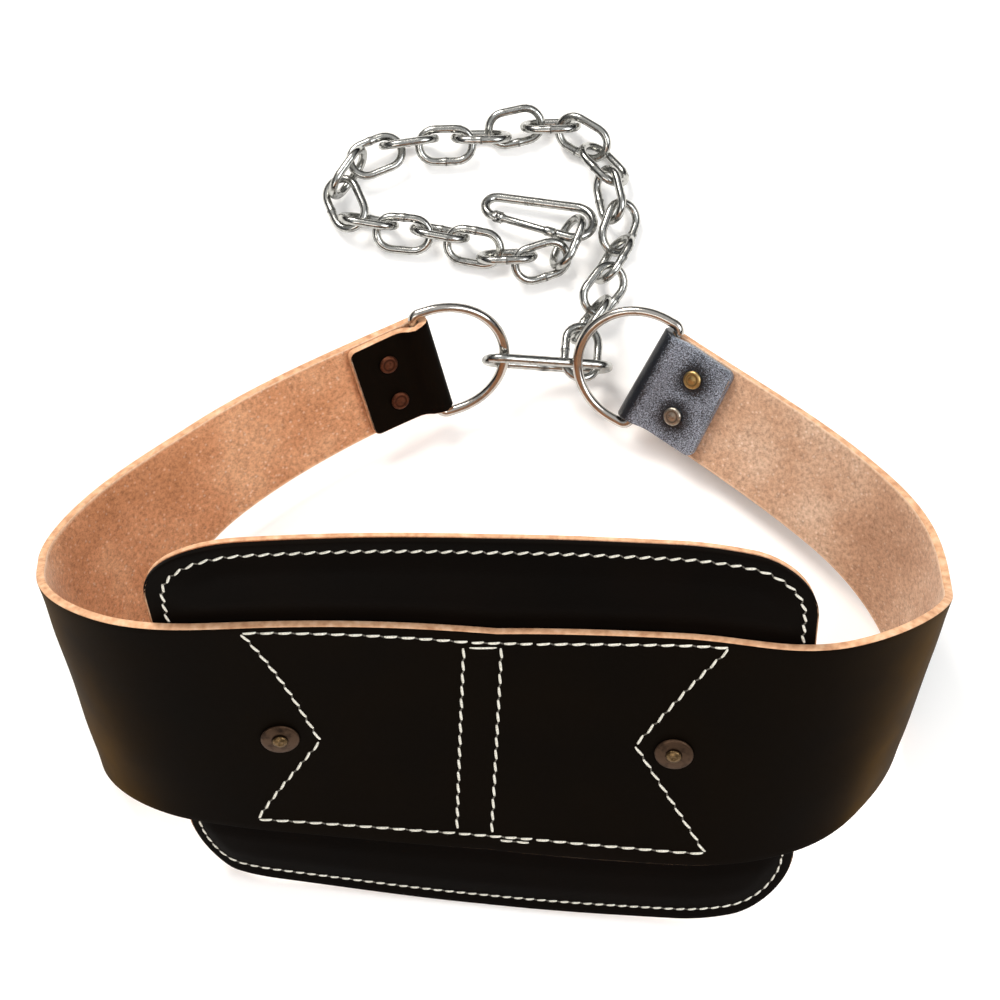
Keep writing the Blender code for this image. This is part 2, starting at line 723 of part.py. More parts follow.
def hook():
    """A pear shaped snap hook: bent wire body, sprung gate and the gate's pin."""
    along = unit(HOOK_ALONG)
    across = unit(np.asarray(HOOK_ACROSS) - along * float(np.dot(HOOK_ACROSS, along)))
    normal = np.cross(along, across)
    at = np.asarray(HOOK_END) - along * (HOOK_LONG - HOOK_WIRE)
    broad_x = HOOK_LONG - HOOK_WIRE - HOOK_BROAD
    taper = math.asin((HOOK_BROAD - HOOK_NARROW) / (broad_x - HOOK_NARROW))

    def place(x, y, z=0.0):
        return at + along * x + across * y + normal * z

    start = np.array([HOOK_NARROW - HOOK_NARROW * math.sin(taper), HOOK_NARROW * math.cos(taper)])
    end = np.array([broad_x - HOOK_BROAD * math.sin(taper), HOOK_BROAD * math.cos(taper)])
    line = unit(end - start)
    pivot = start + line * HINGE_IN
    tip = pivot + line * GATE_LONG
    path = [pivot + line * 1.4 * MM, pivot - line * 1.0 * MM]
    squeeze = [TANG, TANG]
    for angle in np.linspace(90 + math.degrees(taper), 270 - math.degrees(taper), 8)[1:]:
        a = math.radians(angle)
        path.append((HOOK_NARROW + HOOK_NARROW * math.cos(a), HOOK_NARROW * math.sin(a)))
        squeeze.append(1.0)
    squeeze[2] = 0.55
    for angle in np.linspace(-90 - math.degrees(taper), 90 + math.degrees(taper), 10):
        a = math.radians(angle)
        path.append((broad_x + HOOK_BROAD * math.cos(a), HOOK_BROAD * math.sin(a)))
        squeeze.append(1.0)
    path.append(tip + line * 0.5 * MM)
    squeeze.append(1.0)
    wire = [place(*point) for point in path]
    body = tube("carabiner_body", wire, HOOK_WIRE / 2, normal, 8, False, squeeze)

    ahead = along * line[0] + across * line[1]
    hinge = place(*pivot)
    rows = (
        (GATE_COLLAR * 0.8, -1.5 * MM),
        (GATE_COLLAR, -1.0 * MM),
        (GATE_COLLAR, 3.6 * MM),
        (GATE_WIRE / 2, 4.4 * MM),
        (GATE_WIRE / 2, GATE_LONG - 5.2 * MM),
        (GATE_COLLAR, GATE_LONG - 4.6 * MM),
        (GATE_COLLAR, GATE_LONG),
    )
    gate = turned("carabiner_gate", rows, hinge, ahead, 10)
    ends = (hinge - ahead * 3.0 * MM, hinge + ahead * 2.2 * MM)
    slot = mesh_box("slot_gate", *ends, ahead, normal, 2.5 * GATE_COLLAR, GATE_SLOT)
    slot.hide_render = True
    slot.display_type = "WIRE"
    cut = gate.modifiers.new("slot", "BOOLEAN")
    cut.operation = "DIFFERENCE"
    cut.solver = "EXACT"
    cut.object = slot
    bore(gate, "hole_gate", hinge, normal, PIN_HOLE, PIN_LONG, 10)
    bore(body, "hole_hook", hinge, normal, PIN_HOLE, PIN_LONG, 10)
    turned("carabiner_pin", ((PIN, -PIN_LONG / 2), (PIN, PIN_LONG / 2)), hinge, normal, 10)
    gate.data.transform(Matrix.Translation(-Vector(hinge)))
    gate.location = hinge
    return hinge, -normal


def mesh_box(name, one, two, ahead, normal, wide, thick):
    """A box from one point to another, wide across and thick along the normal."""
    side = np.cross(normal, ahead)
    rings = []
    for end in (one, two):
        rings.append(
            [
                end + side * wide * a / 2 + normal * thick * b / 2
                for a, b in ((-1, -1), (1, -1), (1, 1), (-1, 1))
            ]
        )
    return skin(name, rings)


def clear_scene():
    """Takes the start file's objects away."""
    for thing in list(bpy.data.objects):
        bpy.data.objects.remove(thing, do_unlink=True)


def centre_on_floor():
    """Moves everything so that the box round all visible pieces stands centred on the origin."""
    bpy.context.view_layer.update()
    graph = bpy.context.evaluated_depsgraph_get()
    corners = []
    for thing in bpy.data.objects:
        if thing.hide_render:
            continue
        mesh = thing.evaluated_get(graph).to_mesh()
        points = np.empty(len(mesh.vertices) * 3, np.float32)
        mesh.vertices.foreach_get("co", points)
        corners.append(points.reshape(-1, 3) + np.array(thing.location))
    points = np.concatenate(corners)
    low = points.min(0)
    high = points.max(0)
    shift = np.array([-(low[0] + high[0]) / 2, -(low[1] + high[1]) / 2, -low[2]], float)
    root = bpy.data.objects.new("dip_belt", None)
    bpy.context.scene.collection.objects.link(root)
    root.location = shift
    for thing in bpy.data.objects:
        if thing != root:
            thing.parent = root
    return low, high, shift


def main():
    clear_scene()
    strap = main_strap()
    face = pad("pad_face", WALL + PAD_GAP, PAD_FACE_WALL, 0.0)
    lining = pad("pad_lining", WALL + PAD_GAP + PAD_FACE_WALL + LINING_GAP, PAD_LINING_WALL, 0.0)
    for side in SIDES:
        burr(side, (strap, face, lining))
        end_rivets(side, strap)
        d_ring(side)
    long_link()
    chain()
    hinge, axis = hook()
    low, high, shift = centre_on_floor()
    print("size mm", ((high - low) / MM).round(2), "shift", (shift / MM).round(3))
    print("gate hinge mm", ((hinge + shift) / MM).round(3), "axis", axis.round(5))


main()
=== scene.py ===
"""Dresses a leather dip belt: bent strap and pad, thread, rivets, rings, chain, snap hook and a pale studio.

The belt's own frame has its front centre over the origin and faces -Y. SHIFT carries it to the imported
model's frame.
"""

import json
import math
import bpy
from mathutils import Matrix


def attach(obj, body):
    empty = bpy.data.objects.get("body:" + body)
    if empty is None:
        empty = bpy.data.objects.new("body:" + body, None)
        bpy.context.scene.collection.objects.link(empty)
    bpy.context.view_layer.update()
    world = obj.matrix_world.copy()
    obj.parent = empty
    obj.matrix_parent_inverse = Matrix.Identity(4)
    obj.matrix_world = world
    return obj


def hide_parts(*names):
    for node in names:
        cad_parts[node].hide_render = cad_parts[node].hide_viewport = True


bl_info = {
    "name": "Dip belt",
    "version": (1, 0, 0),
    "blender": (4, 5, 0),
    "location": "View3D > Sidebar > Dip belt",
    "description": "A leather dip belt with its stitching, rings, chain and snap hook on a pale floor",
    "category": "Object",
}

import bmesh
import bpy
import numpy as np
from bpy.props import FloatProperty, PointerProperty, StringProperty
from bpy.types import Operator, Panel, PropertyGroup
from mathutils import Matrix, Vector

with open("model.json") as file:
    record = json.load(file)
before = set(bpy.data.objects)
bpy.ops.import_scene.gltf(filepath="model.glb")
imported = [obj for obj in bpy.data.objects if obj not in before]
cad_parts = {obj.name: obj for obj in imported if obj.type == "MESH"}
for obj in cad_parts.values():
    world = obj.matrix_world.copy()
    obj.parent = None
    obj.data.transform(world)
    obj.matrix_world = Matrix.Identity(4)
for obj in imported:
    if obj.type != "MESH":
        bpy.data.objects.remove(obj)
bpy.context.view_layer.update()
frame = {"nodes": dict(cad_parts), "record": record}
MM = 0.001

# Strap, as the source of the solids has it
WALL = 4.0 * MM
STRAP_WIDE = 132.6 * MM
FRONT_HEIGHT = 92.5 * MM
# Share of a side's length, share of the strap's width
WIDTH_ROWS = ((0.0, 0.970), (0.30, 1.0), (0.50, 0.804), (0.75, 0.430), (1.0, 0.364))
# Share of the side's length, turn in radians per share, lean and rise in degrees
LEFT_ROWS = (
    (0.00, -0.06, -31.5, 0.6),
    (0.18, -0.38, -27.0, 6.0),
    (0.34, 5.85, -19.1, -20.2),
    (0.46, 8.50, 1.2, -45.6),
    (0.58, 3.68, 30.6, -4.6),
    (0.76, 1.65, 35.0, -3.5),
    (1.00, 0.15, 39.5, -3.6),
)
RIGHT_ROWS = (
    (0.00, -0.06, -31.5, -0.6),
    (0.18, -0.01, -32.6, 2.7),
    (0.34, 5.39, -22.1, -11.2),
    (0.46, 5.31, -4.6, -44.0),
    (0.58, 6.05, 11.3, -9.2),
    (0.76, 1.44, 39.2, -7.6),
    (1.00, -0.10, 53.6, -1.9),
)
SIDES = {
    "left": {"sign": -1, "length": 471.9 * MM, "rows": LEFT_ROWS},
    "right": {"sign": 1, "length": 448.1 * MM, "rows": RIGHT_ROWS},
}
RING_WIRE = 4.6 * MM
LOOP_INNER = RING_WIRE / 2 + 0.5 * MM
LOOP_BACK = 10.0 * MM
FLAP_LONG = 41.0 * MM
FLAP_GAP = 0.35 * MM

# The bends, from the front centre: their brown, partly from wearing and partly painted sheen, and where
# their upper and lower edges are eased
BEND_SHEEN_AT = 205.0 * MM
BEND_SHEEN_REACH = 29.0 * MM
EASE_AT = 235.0 * MM
EASE_LOW_AT = 175.0 * MM
EASE_REACH = 60.0 * MM
EASE = 45.0 * MM
FLAP_CORNER = 3.5 * MM
FLAP_NARROWER = 0.6 * MM
END_COLUMNS = 6

# Strengths: wearing of the strap away from its bends and wearing with painted brown sheen at them, wearing
# of the pad, fraying of the cut edges
STRAP_WEAR_AND_SHEEN = (0.02, 0.8)
PAD_WEAR = 0.12
FRAY = 1.3

# Right flap, from the start of its fold: where its polish and painted highlights start, and the band where
# the fold's painted shade ends
POLISH_AND_GLINTS_FROM = 4.0 * MM
FOLD_BAND = (12.0 * MM, 17.0 * MM)

# Places along a side where the strap's line is known, then columns and rows of the sheets
STATION_COUNT = 241
STRAP_GRID = (440, 34)
PAD_GRID = (150, 96)
LINING_GRID = (110, 70)

# Pad
PAD_GAP = 0.9 * MM
LINING_GAP = 0.45 * MM
PAD_WIDE = 278.0 * MM
PAD_ABOVE = 111.0 * MM
PAD_BELOW = 104.0 * MM
PAD_CORNER = 30.0 * MM
# Extra width at the pad's lower left as a share of its half width, and the height that it takes to grow
PAD_FLARE = 0.09
PAD_FLARE_BELOW = 60.0 * MM
PAD_FACE_WALL = 3.0 * MM
PAD_LINING_WALL = 2.5 * MM

# Rivets: the large ones by distance from the front centre and height across, then the small ones
BURR_AT = {"left": (-92.5 * MM, -3.5 * MM), "right": (80.0 * MM, 1.0 * MM)}
END_RIVET_WIDE = 8.8 * MM
END_RIVET_IN = 24.5 * MM
END_RIVET_APART = 20.5 * MM
RIVET_GAP = 0.6 * MM

# Rings and links
RING_INSIDE = 50.8 * MM
RING_DEEP = 37.7 * MM
RING_CORNER = 3.6 * MM
RING_SHOULDER = 8.0 * MM
RING_TILT = {"left": 13.0, "right": 16.0}
# Length, width, wire and length of the weld's mark
LONG_LINK = (64.0 * MM, 19.4 * MM, 4.5 * MM, 2.6 * MM)
CHAIN_LINK = (30.1 * MM, 20.1 * MM, 4.1 * MM, 2.2 * MM)
WELD_SWELL = 0.10

# Snap hook, placed by the middle of its wire at its broad end
HOOK_WIRE = 4.6 * MM
HOOK_LONG = 58.0 * MM
HOOK_NARROW = 5.8 * MM
HOOK_BROAD = 9.4 * MM
HOOK_END = (28.8 * MM, 285.3 * MM, 8.0 * MM)
HOOK_ALONG = (0.980, -0.185, 0.060)
HOOK_ACROSS = (-0.195, -0.948, 0.252)
GATE_LONG = 30.0 * MM
# The wire's end past its narrow bend, the pivot's distance from that bend and the wire's flattening there
TANG = 2.4 * MM
PIVOT_IN = 1.6 * MM
TANG_FLAT = 0.58

# Turned pieces as rows of radius and height in mm, heads from the leather up and feet from it down
BURR_PLATE = (
    (2.75, 0.0), (8.0, 0.0), (8.45, 0.15), (8.6, 0.5), (8.3, 0.95),
    (7.4, 1.25), (4.3, 1.5), (2.9, 1.6), (2.75, 1.4), (2.75, 0.0),
)
BURR_HEAD = (
    (0.0, 3.1), (0.7, 3.15), (1.1, 3.55), (1.7, 3.45),
    (2.8, 2.9), (3.5, 2.3), (3.4, 1.95), (2.4, 1.95),
)
BURR_FOOT = ((2.4, 0.0), (5.6, 0.0), (5.6, -0.5), (4.2, -1.1), (0.0, -1.2))
END_HEAD = ((0.0, 2.0), (2.2, 1.9), (3.74, 1.4), (4.4, 0.6), (4.2, 0.0), (1.6, 0.0))
END_FOOT = (
    (1.6, 0.0), (4.2, 0.0), (4.4, -0.3), (4.4, -0.8), (3.96, -1.3),
    (3.256, -1.5), (2.728, -1.35), (1.76, -1.3), (0.88, -1.65), (0.0, -1.7),
)
GATE = (
    (0.0, 2.35), (2.1, 2.35), (2.4, 2.7), (2.4, 3.5), (2.0, 4.3), (1.9, 5.0),
    (1.9, 24.6), (2.1, 25.0), (2.4, 25.5), (2.4, 29.7), (2.1, 30.0), (0.0, 30.0),
)
CHEEK_BAR = (3.4 * MM, 3.6 * MM, 0.95 * MM)
CHEEK = ((0.0, 1.32), (1.2, 1.32), (2.15, 1.4), (2.3, 1.9), (1.9, 2.25), (0.0, 2.3))
PIN = ((0.0, 2.75), (0.55, 2.7), (0.7, 2.5), (0.7, -2.5), (0.55, -2.7), (0.0, -2.75))

# Seams on the strap: corners as distance from the front centre and height across
BOW_CORNERS = (
    (-108.6, 63.2), (-13.0, 58.8), (18.0, 59.2), (102.0, 63.2), (62.9, 4.2),
    (95.3, -58.4), (19.4, -55.4), (-12.1, -55.5), (-102.0, -58.6), (-74.8, -4.8),
)
MIDDLE_SEAMS = (((-15.5, 56.0), (-12.3, -53.4)), ((2.8, 57.0), (1.6, -54.0)))
# Ends of the long stitch between the middle seams, and of the stitches sewn back at the lower edge
JUMP = ((-15.0, 55.4), (2.6, 56.4))
SEWN_BACK = ((4.5, -57.6), (18.0, -57.8))
PAD_SEAM_IN = 6.0 * MM
# Reach and depth of the dip along the pad's seam, then its lower stitches and thread against the upper
GROOVE = (1.6 * MM, 0.55 * MM)
LOWER_STITCH = 0.82
LOWER_THREAD = 0.85
# Gap between stitches and thickness of the sunk thread in it, then points that a seam is measured by
STITCH_GAP = 0.13
SUNK_SHARE = 0.6
SEAM_POINTS = 600

# Camera, found from the photograph: where it stands, what it looks at, its roll and its lens
CAMERA_PLACE = (0.0583, -0.6108, 1.7406)
CAMERA_AIM = (-0.0005, -0.0182, 0.0500)
CAMERA_ROLL = -2.04
CAMERA_LENS = 140.4


def smooth(knots, values):
    """A monotone cubic through the knots, returned as a function of an array."""
    x = np.asarray(knots, float)
    y = np.asarray(values, float)
    gap = np.diff(x)
    rate = np.diff(y) / gap
    slope = np.zeros(len(x))
    for i in range(1, len(x) - 1):
        if rate[i - 1] * rate[i] > 0:
            before = 2 * gap[i] + gap[i - 1]
            after = gap[i] + 2 * gap[i - 1]
            slope[i] = (before + after) / (before / rate[i - 1] + after / rate[i])
    for end, one, two in ((0, 0, 1), (-1, -1, -2)):
        first = ((2 * gap[one] + gap[two]) * rate[one] - gap[one] * rate[two]) / (gap[one] + gap[two])
        if first * rate[one] <= 0:
            first = 0.0
        elif rate[one] * rate[two] < 0 and abs(first) > 3 * abs(rate[one]):
            first = 3 * rate[one]
        slope[end] = first

    def at(where):
        where = np.asarray(where, float)
        i = np.clip(np.searchsorted(x, where, side="right") - 1, 0, len(gap) - 1)
        t = (where - x[i]) / gap[i]
        return (
            y[i] * (1 + 2 * t) * (1 - t) ** 2
            + y[i + 1] * t * t * (3 - 2 * t)
            + gap[i] * t * (1 - t) * (slope[i] * (1 - t) - slope[i + 1] * t)
        )

    return at


def soft_step(low, high, value):
    """0 below low, 1 above high and a smooth rise between them."""
    t = np.clip((value - low) / (high - low), 0, 1)
    return t * t * (3 - 2 * t)


def unit(vector):
    """Vectors scaled to length 1."""
    vector = np.asarray(vector, float)
    return vector / np.linalg.norm(vector, axis=-1, keepdims=True)


def distances(points):
    """Distance along a line to each of its points."""
    return np.concatenate([[0], np.cumsum(np.linalg.norm(np.diff(points, axis=0), axis=1))])


def stations(side):
    """Centre, along, across and outward directions and half width from the front centre to one end."""
    plan = SIDES[side]
    sign = plan["sign"]
    share = np.linspace(0, 1, STATION_COUNT)
    knots, *columns = zip(*plan["rows"])
    turn, lean, rise = (smooth(knots, column)(share) for column in columns)
    lean = np.radians(lean)
    rise = np.radians(rise)
    heading = np.concatenate([[0], np.cumsum((turn[1:] + turn[:-1]) / 2 * np.diff(share))]) * sign
    level = sign * np.cos(rise)
    along = np.stack([level * np.cos(heading), level * np.sin(heading), np.sin(rise)], 1)
    inward = np.stack([-np.sin(heading), np.cos(heading), np.zeros(STATION_COUNT)], 1)
    up = np.cross(inward, along)
    up *= np.sign(up[:, 2:3])
    across = np.cos(lean)[:, None] * up - np.sin(lean)[:, None] * inward
    outward = -(np.cos(lean)[:, None] * inward + np.sin(lean)[:, None] * up)
    step = (along[1:] + along[:-1]) / 2 * plan["length"] / (STATION_COUNT - 1)
    centre = np.vstack([np.zeros(3), np.cumsum(step, 0)]) + [0, 0, FRONT_HEIGHT]
    half = smooth(*zip(*WIDTH_ROWS))(share) * STRAP_WIDE / 2
    return {"centre": centre, "along": along, "across": across, "outward": outward, "half": half}


STATIONS = {side: stations(side) for side in SIDES}


def frames_at(side, x):
    """Centre, along, across, outward and half width at distances x from the front centre."""
    line = STATIONS[side]
    length = SIDES[side]["length"]
    x = np.atleast_1d(np.asarray(x, float))
    where = np.clip(x / length, 0.0, 1.0) * (len(line["half"]) - 1)
    low = np.minimum(where.astype(int), len(line["half"]) - 2)
    part = where - low
    mix = {}
    for key, rows in line.items():
        share = part[:, None] if rows.ndim == 2 else part
        mix[key] = rows[low] * (1 - share) + rows[low + 1] * share
    along = unit(mix["along"])
    centre = mix["centre"] + along * np.maximum(x - length, 0.0)[:, None]
    return centre, along, unit(mix["across"]), unit(mix["outward"]), mix["half"]


def leather(x, v, depth):
    """Points at x along the strap (negative to the left), v across it and depth under its outer face."""
    x, v, depth = np.broadcast_arrays(*(np.atleast_1d(np.asarray(value, float)) for value in (x, v, depth)))
    points = np.empty((len(x), 3))
    for side, chosen in (("left", x < 0), ("right", x >= 0)):
        if chosen.any():
            centre, _, across, outward, _ = frames_at(side, np.abs(x[chosen]))
            points[chosen] = centre + across * v[chosen, None] - outward * depth[chosen, None]
    return points + SHIFT


def on_pad(x, v, depth):
    """Points of the pad at x, v and depth on the leather, moved out at its lower left."""
    x, v = np.broadcast_arrays(np.atleast_1d(x), np.atleast_1d(v))
    flare = np.where(x < 0, PAD_FLARE * soft_step(0.0, PAD_FLARE_BELOW, -v), 0.0)
    return leather(x * (1 + flare), v, depth)


def half_width(x):
    """Half the strap's width at x along it, negative to the left."""
    x = np.atleast_1d(np.asarray(x, float))
    return np.where(x < 0, frames_at("left", np.abs(x))[4], frames_at("right", np.abs(x))[4])


def hook_frame():
    """The hook's origin and directions before the shift, its taper, its gate side and its pivot."""
    along = unit(HOOK_ALONG)
    across = unit(np.asarray(HOOK_ACROSS) - along * float(np.dot(HOOK_ACROSS, along)))
    normal = np.cross(along, across)
    at = np.asarray(HOOK_END) - along * (HOOK_LONG - HOOK_WIRE)
    broad_x = HOOK_LONG - HOOK_WIRE - HOOK_BROAD
    taper = math.asin((HOOK_BROAD - HOOK_NARROW) / (broad_x - HOOK_NARROW))
    start = np.array([HOOK_NARROW - HOOK_NARROW * math.sin(taper), HOOK_NARROW * math.cos(taper)])
    end = np.array([broad_x - HOOK_BROAD * math.sin(taper), HOOK_BROAD * math.cos(taper)])
    line = unit(end - start)
    pivot = start + line * PIVOT_IN
    return at, along, across, normal, taper, start, end, line, pivot


def find_shift():
    """From the belt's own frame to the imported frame, by the gate's hinge."""
    at, along, across, *_, pivot = hook_frame()
    hinge = np.asarray(frame["record"]["behaviour"]["joints"][0]["pos_m"])
    return hinge - (at + along * pivot[0] + across * pivot[1])


SHIFT = find_shift()


# Making meshes


def finish(bm, name, looks, replaces=(), body="belt", *, slot):
    """Turns a bmesh into an object at the origin with its looks as materials, riding on its body."""
    mesh = bpy.data.meshes.new(name)
    bmesh.ops.recalc_face_normals(bm, faces=bm.faces[:])
    for face in bm.faces:
        face.smooth = True
    bm.to_mesh(mesh)
    bm.free()
    for look in looks:
        mesh.materials.append(material(*look))
    thing = bpy.data.objects.new(name, mesh)
    bpy.context.scene.collection.objects.link(thing)
    if replaces:
        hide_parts(*replaces)
    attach(thing, body)


def axes_matrix(at, x_axis, y_axis):
    """A matrix that carries local X and Y to two directions at a place."""
    x_axis = Vector(unit(x_axis))
    y_axis = Vector(np.asarray(y_axis, float))
    y_axis = (y_axis - x_axis * y_axis.dot(x_axis)).normalized()
    z_axis = x_axis.cross(y_axis)
    matrix = Matrix((x_axis, y_axis, z_axis)).transposed().to_4x4()
    matrix.translation = Vector(np.asarray(at, float))
    return matrix


def kept(items, kind):
    """The items of one kind from a list of geometry."""
    return [item for item in items if isinstance(item, kind)]


def bent_wire(bm, radius, sides, moves, start=(0.0, 0.0, 0.0), heading=0.0, closed=False):
    """Round wire in the XY plane by moves: ("run", length, steps) or ("bend", radius, degrees, steps)."""
    turned = Matrix.Rotation(heading, 4, "Z") @ Matrix.Rotation(math.pi / 2, 4, "Y")
    turned = Matrix.Translation(start) @ turned
    made = bmesh.ops.create_circle(bm, segments=sides, radius=radius, matrix=turned, cap_ends=False)
    loop = list(dict.fromkeys(edge for vert in made["verts"] for edge in vert.link_edges))
    first = list(made["verts"])
    place = Vector(start)
    for move in moves:
        if move[0] == "run":
            ahead = Vector((math.cos(heading), math.sin(heading), 0)) * (move[1] / move[2])
            for _ in range(move[2]):
                grown = bmesh.ops.extrude_edge_only(bm, edges=loop)["geom"]
                verts = kept(grown, bmesh.types.BMVert)
                edges = kept(grown, bmesh.types.BMEdge)
                loop = [edge for edge in edges if all(vert in verts for vert in edge.verts)]
                bmesh.ops.translate(bm, verts=verts, vec=ahead)
                place += ahead
        else:
            bend = math.radians(move[2])
            side = 1 if bend > 0 else -1
            centre = place + Vector((-math.sin(heading), math.cos(heading), 0)) * move[1] * side
            spun = bmesh.ops.spin(bm, geom=loop, cent=centre, axis=(0, 0, 1), angle=bend, steps=move[3])
            loop = kept(spun["geom_last"], bmesh.types.BMEdge)
            place = centre + Matrix.Rotation(bend, 3, "Z") @ (place - centre)
            heading += bend
    last = list(dict.fromkeys(vert for edge in loop for vert in edge.verts))
    if closed:
        bmesh.ops.remove_doubles(bm, verts=first + last, dist=radius * 0.1)
    else:
        for ring in (first, last):
            edges = dict.fromkeys(edge for vert in ring for edge in vert.link_edges)
            rim = [edge for edge in edges if all(end in ring for end in edge.verts)]
            bmesh.ops.contextual_create(bm, geom=rim)


def raised(rows, height=0.0):
    """Rows of radius and height in mm as metres, raised by a height."""
    return [(radius * MM, tall * MM + height) for radius, tall in rows]


def turned_piece(bm, profile, at, axis, sides):
    """Spins a profile of (radius, height) round an axis. A radius of 0 closes an end."""
    verts = [bm.verts.new((radius, 0, height)) for radius, height in profile]
    edges = [bm.edges.new(pair) for pair in zip(verts, verts[1:])]
    before = set(bm.verts) - set(verts)
    bmesh.ops.spin(
        bm, geom=verts + edges, cent=(0, 0, 0), axis=(0, 0, 1), angle=math.tau, steps=sides, use_merge=True
    )
    fresh = [vert for vert in bm.verts if vert not in before]
    bmesh.ops.remove_doubles(bm, verts=fresh, dist=1e-6)
    fresh = [vert for vert in bm.verts if vert not in before]
    axis = unit(axis)
    sideways = np.cross(axis, (0.31, 0.17, 0.93))
    bmesh.ops.transform(bm, verts=fresh, matrix=axes_matrix(at, sideways, np.cross(axis, unit(sideways))))


def slab(grid, wall, edge, place_flat):
    """A flat sheet with rounded edges. place_flat turns shares of its grid into metres before the bevel."""
    bm = bmesh.new()
    bmesh.ops.create_grid(bm, x_segments=grid[0], y_segments=grid[1], size=0.5)
    shares = np.array([vert.co[:2] for vert in bm.verts]) + 0.5
    flat = place_flat(shares[:, 0], shares[:, 1])
    for vert, (x, y) in zip(bm.verts, flat):
        vert.co = (x, y, 0.0)
    grown = bmesh.ops.extrude_face_region(bm, geom=bm.faces[:])["geom"]
    bmesh.ops.translate(bm, verts=kept(grown, bmesh.types.BMVert), vec=(0, 0, wall))
    bmesh.ops.recalc_face_normals(bm, faces=bm.faces[:])
    sharp = [item for item in bm.edges if item.calc_face_angle(0.0) > 1.0]
    rounding = {"offset": edge, "offset_type": "OFFSET", "segments": 3, "profile": 0.5, "affect": "EDGES"}
    bmesh.ops.bevel(bm, geom=sharp, material=-1, **rounding)
    return bm


def colour_faces(bm, outer, inner, side):
    """Material numbers for a flat slab's outer face, inner face and cut edge."""
    bm.normal_update()
    for face in bm.faces:
        if face.normal.z < -0.75:
            face.material_index = outer
        elif face.normal.z > 0.75:
            face.material_index = inner
        else:
            face.material_index = side


def carry(bm, name, values):
    """Gives the points of a bmesh one value each, under a name."""
    layer = bm.verts.layers.float.new(name)
    for vert, value in zip(bm.verts, values):
        vert[layer] = value


def bend_slab(bm, bend):
    """Carries a flat slab's points to their places with bend(x, y, z)."""
    flat = np.array([vert.co[:] for vert in bm.verts])
    for vert, point in zip(bm.verts, bend(flat[:, 0], flat[:, 1], flat[:, 2])):
        vert.co = point


# Materials


def linear(hex_text):
    """A linear colour with alpha from an sRGB hex value."""
    values = [int(hex_text[i : i + 2], 16) / 255 for i in (1, 3, 5)]
    return (*(v / 12.92 if v <= 0.04045 else ((v + 0.055) / 1.055) ** 2.4 for v in values), 1.0)


def add_node(tree, kind, settings=None, inputs=None):
    """Adds a node. An input is a value, or the socket that feeds it."""
    made = tree.nodes.new(kind)
    for name, value in (settings or {}).items():
        setattr(made, name, value)
    for name, value in (inputs or {}).items():
        if isinstance(value, bpy.types.NodeSocket):
            tree.links.new(value, made.inputs[name])
        else:
            made.inputs[name].default_value = value
    return made


def material(name, look, *values):
    """The material of that name. look(tree, where, *values) gives the inputs of its shader."""
    made = bpy.data.materials.get(name)
    if made is None:
        made = bpy.data.materials.new(name)
        made.use_nodes = True
        tree = made.node_tree
        tree.nodes.clear()
        where = add_node(tree, "ShaderNodeTexCoord").outputs["Object"]
        shader = add_node(tree, "ShaderNodeBsdfPrincipled", None, look(tree, where, *values))
        add_node(tree, "ShaderNodeOutputMaterial", None, {"Surface": shader.outputs[0]})
    return made


def ramp(tree, value, stops):
    """A colour ramp through (position, hex colour) stops."""
    made = add_node(tree, "ShaderNodeValToRGB", None, {"Fac": value})
    stripe = made.color_ramp
    while len(stripe.elements) < len(stops):
        stripe.elements.new(0.5)
    for element, (position, colour) in zip(stripe.elements, stops):
        element.position = position
        element.color = linear(colour)
    return made.outputs["Color"]


def noise(tree, where, scale, detail, roughness=0.5):
    """The grey of a noise texture."""
    inputs = {"Vector": where, "Scale": scale, "Detail": detail, "Roughness": roughness}
    return add_node(tree, "ShaderNodeTexNoise", None, inputs).outputs["Fac"]


def cells(tree, where, scale, feature):
    """The distances of a Voronoi texture."""
    inputs = {"Vector": where, "Scale": scale}
    return add_node(tree, "ShaderNodeTexVoronoi", {"feature": feature}, inputs).outputs["Distance"]


def attribute(tree, name):
    """A value that the mesh carries on its points."""
    return add_node(tree, "ShaderNodeAttribute", {"attribute_name": name}).outputs["Fac"]


def calc(tree, operation, *values, clamp=False):
    """The result of one Math node."""
    settings = {"operation": operation, "use_clamp": clamp}
    return add_node(tree, "ShaderNodeMath", settings, dict(enumerate(values))).outputs[0]


def carried(tree, value, low, high, to_low=0.0, to_high=1.0):
    """A value carried from one range to another."""
    inputs = {"Value": value, "From Min": low, "From Max": high, "To Min": to_low, "To Max": to_high}
    return add_node(tree, "ShaderNodeMapRange", None, inputs).outputs[0]


def mixed(tree, share, one, two, blend="MIX"):
    """Two colours, each a socket or a hex value, mixed by a share."""
    one, two = (linear(colour) if isinstance(colour, str) else colour for colour in (one, two))
    settings = {"data_type": "RGBA", "blend_type": blend}
    return add_node(tree, "ShaderNodeMix", settings, {0: share, 6: one, 7: two}).outputs[2]


def bump(tree, height, strength, distance):
    """Normals bent by a height."""
    inputs = {"Strength": strength, "Distance": distance, "Height": height}
    return add_node(tree, "ShaderNodeBump", None, inputs).outputs[0]


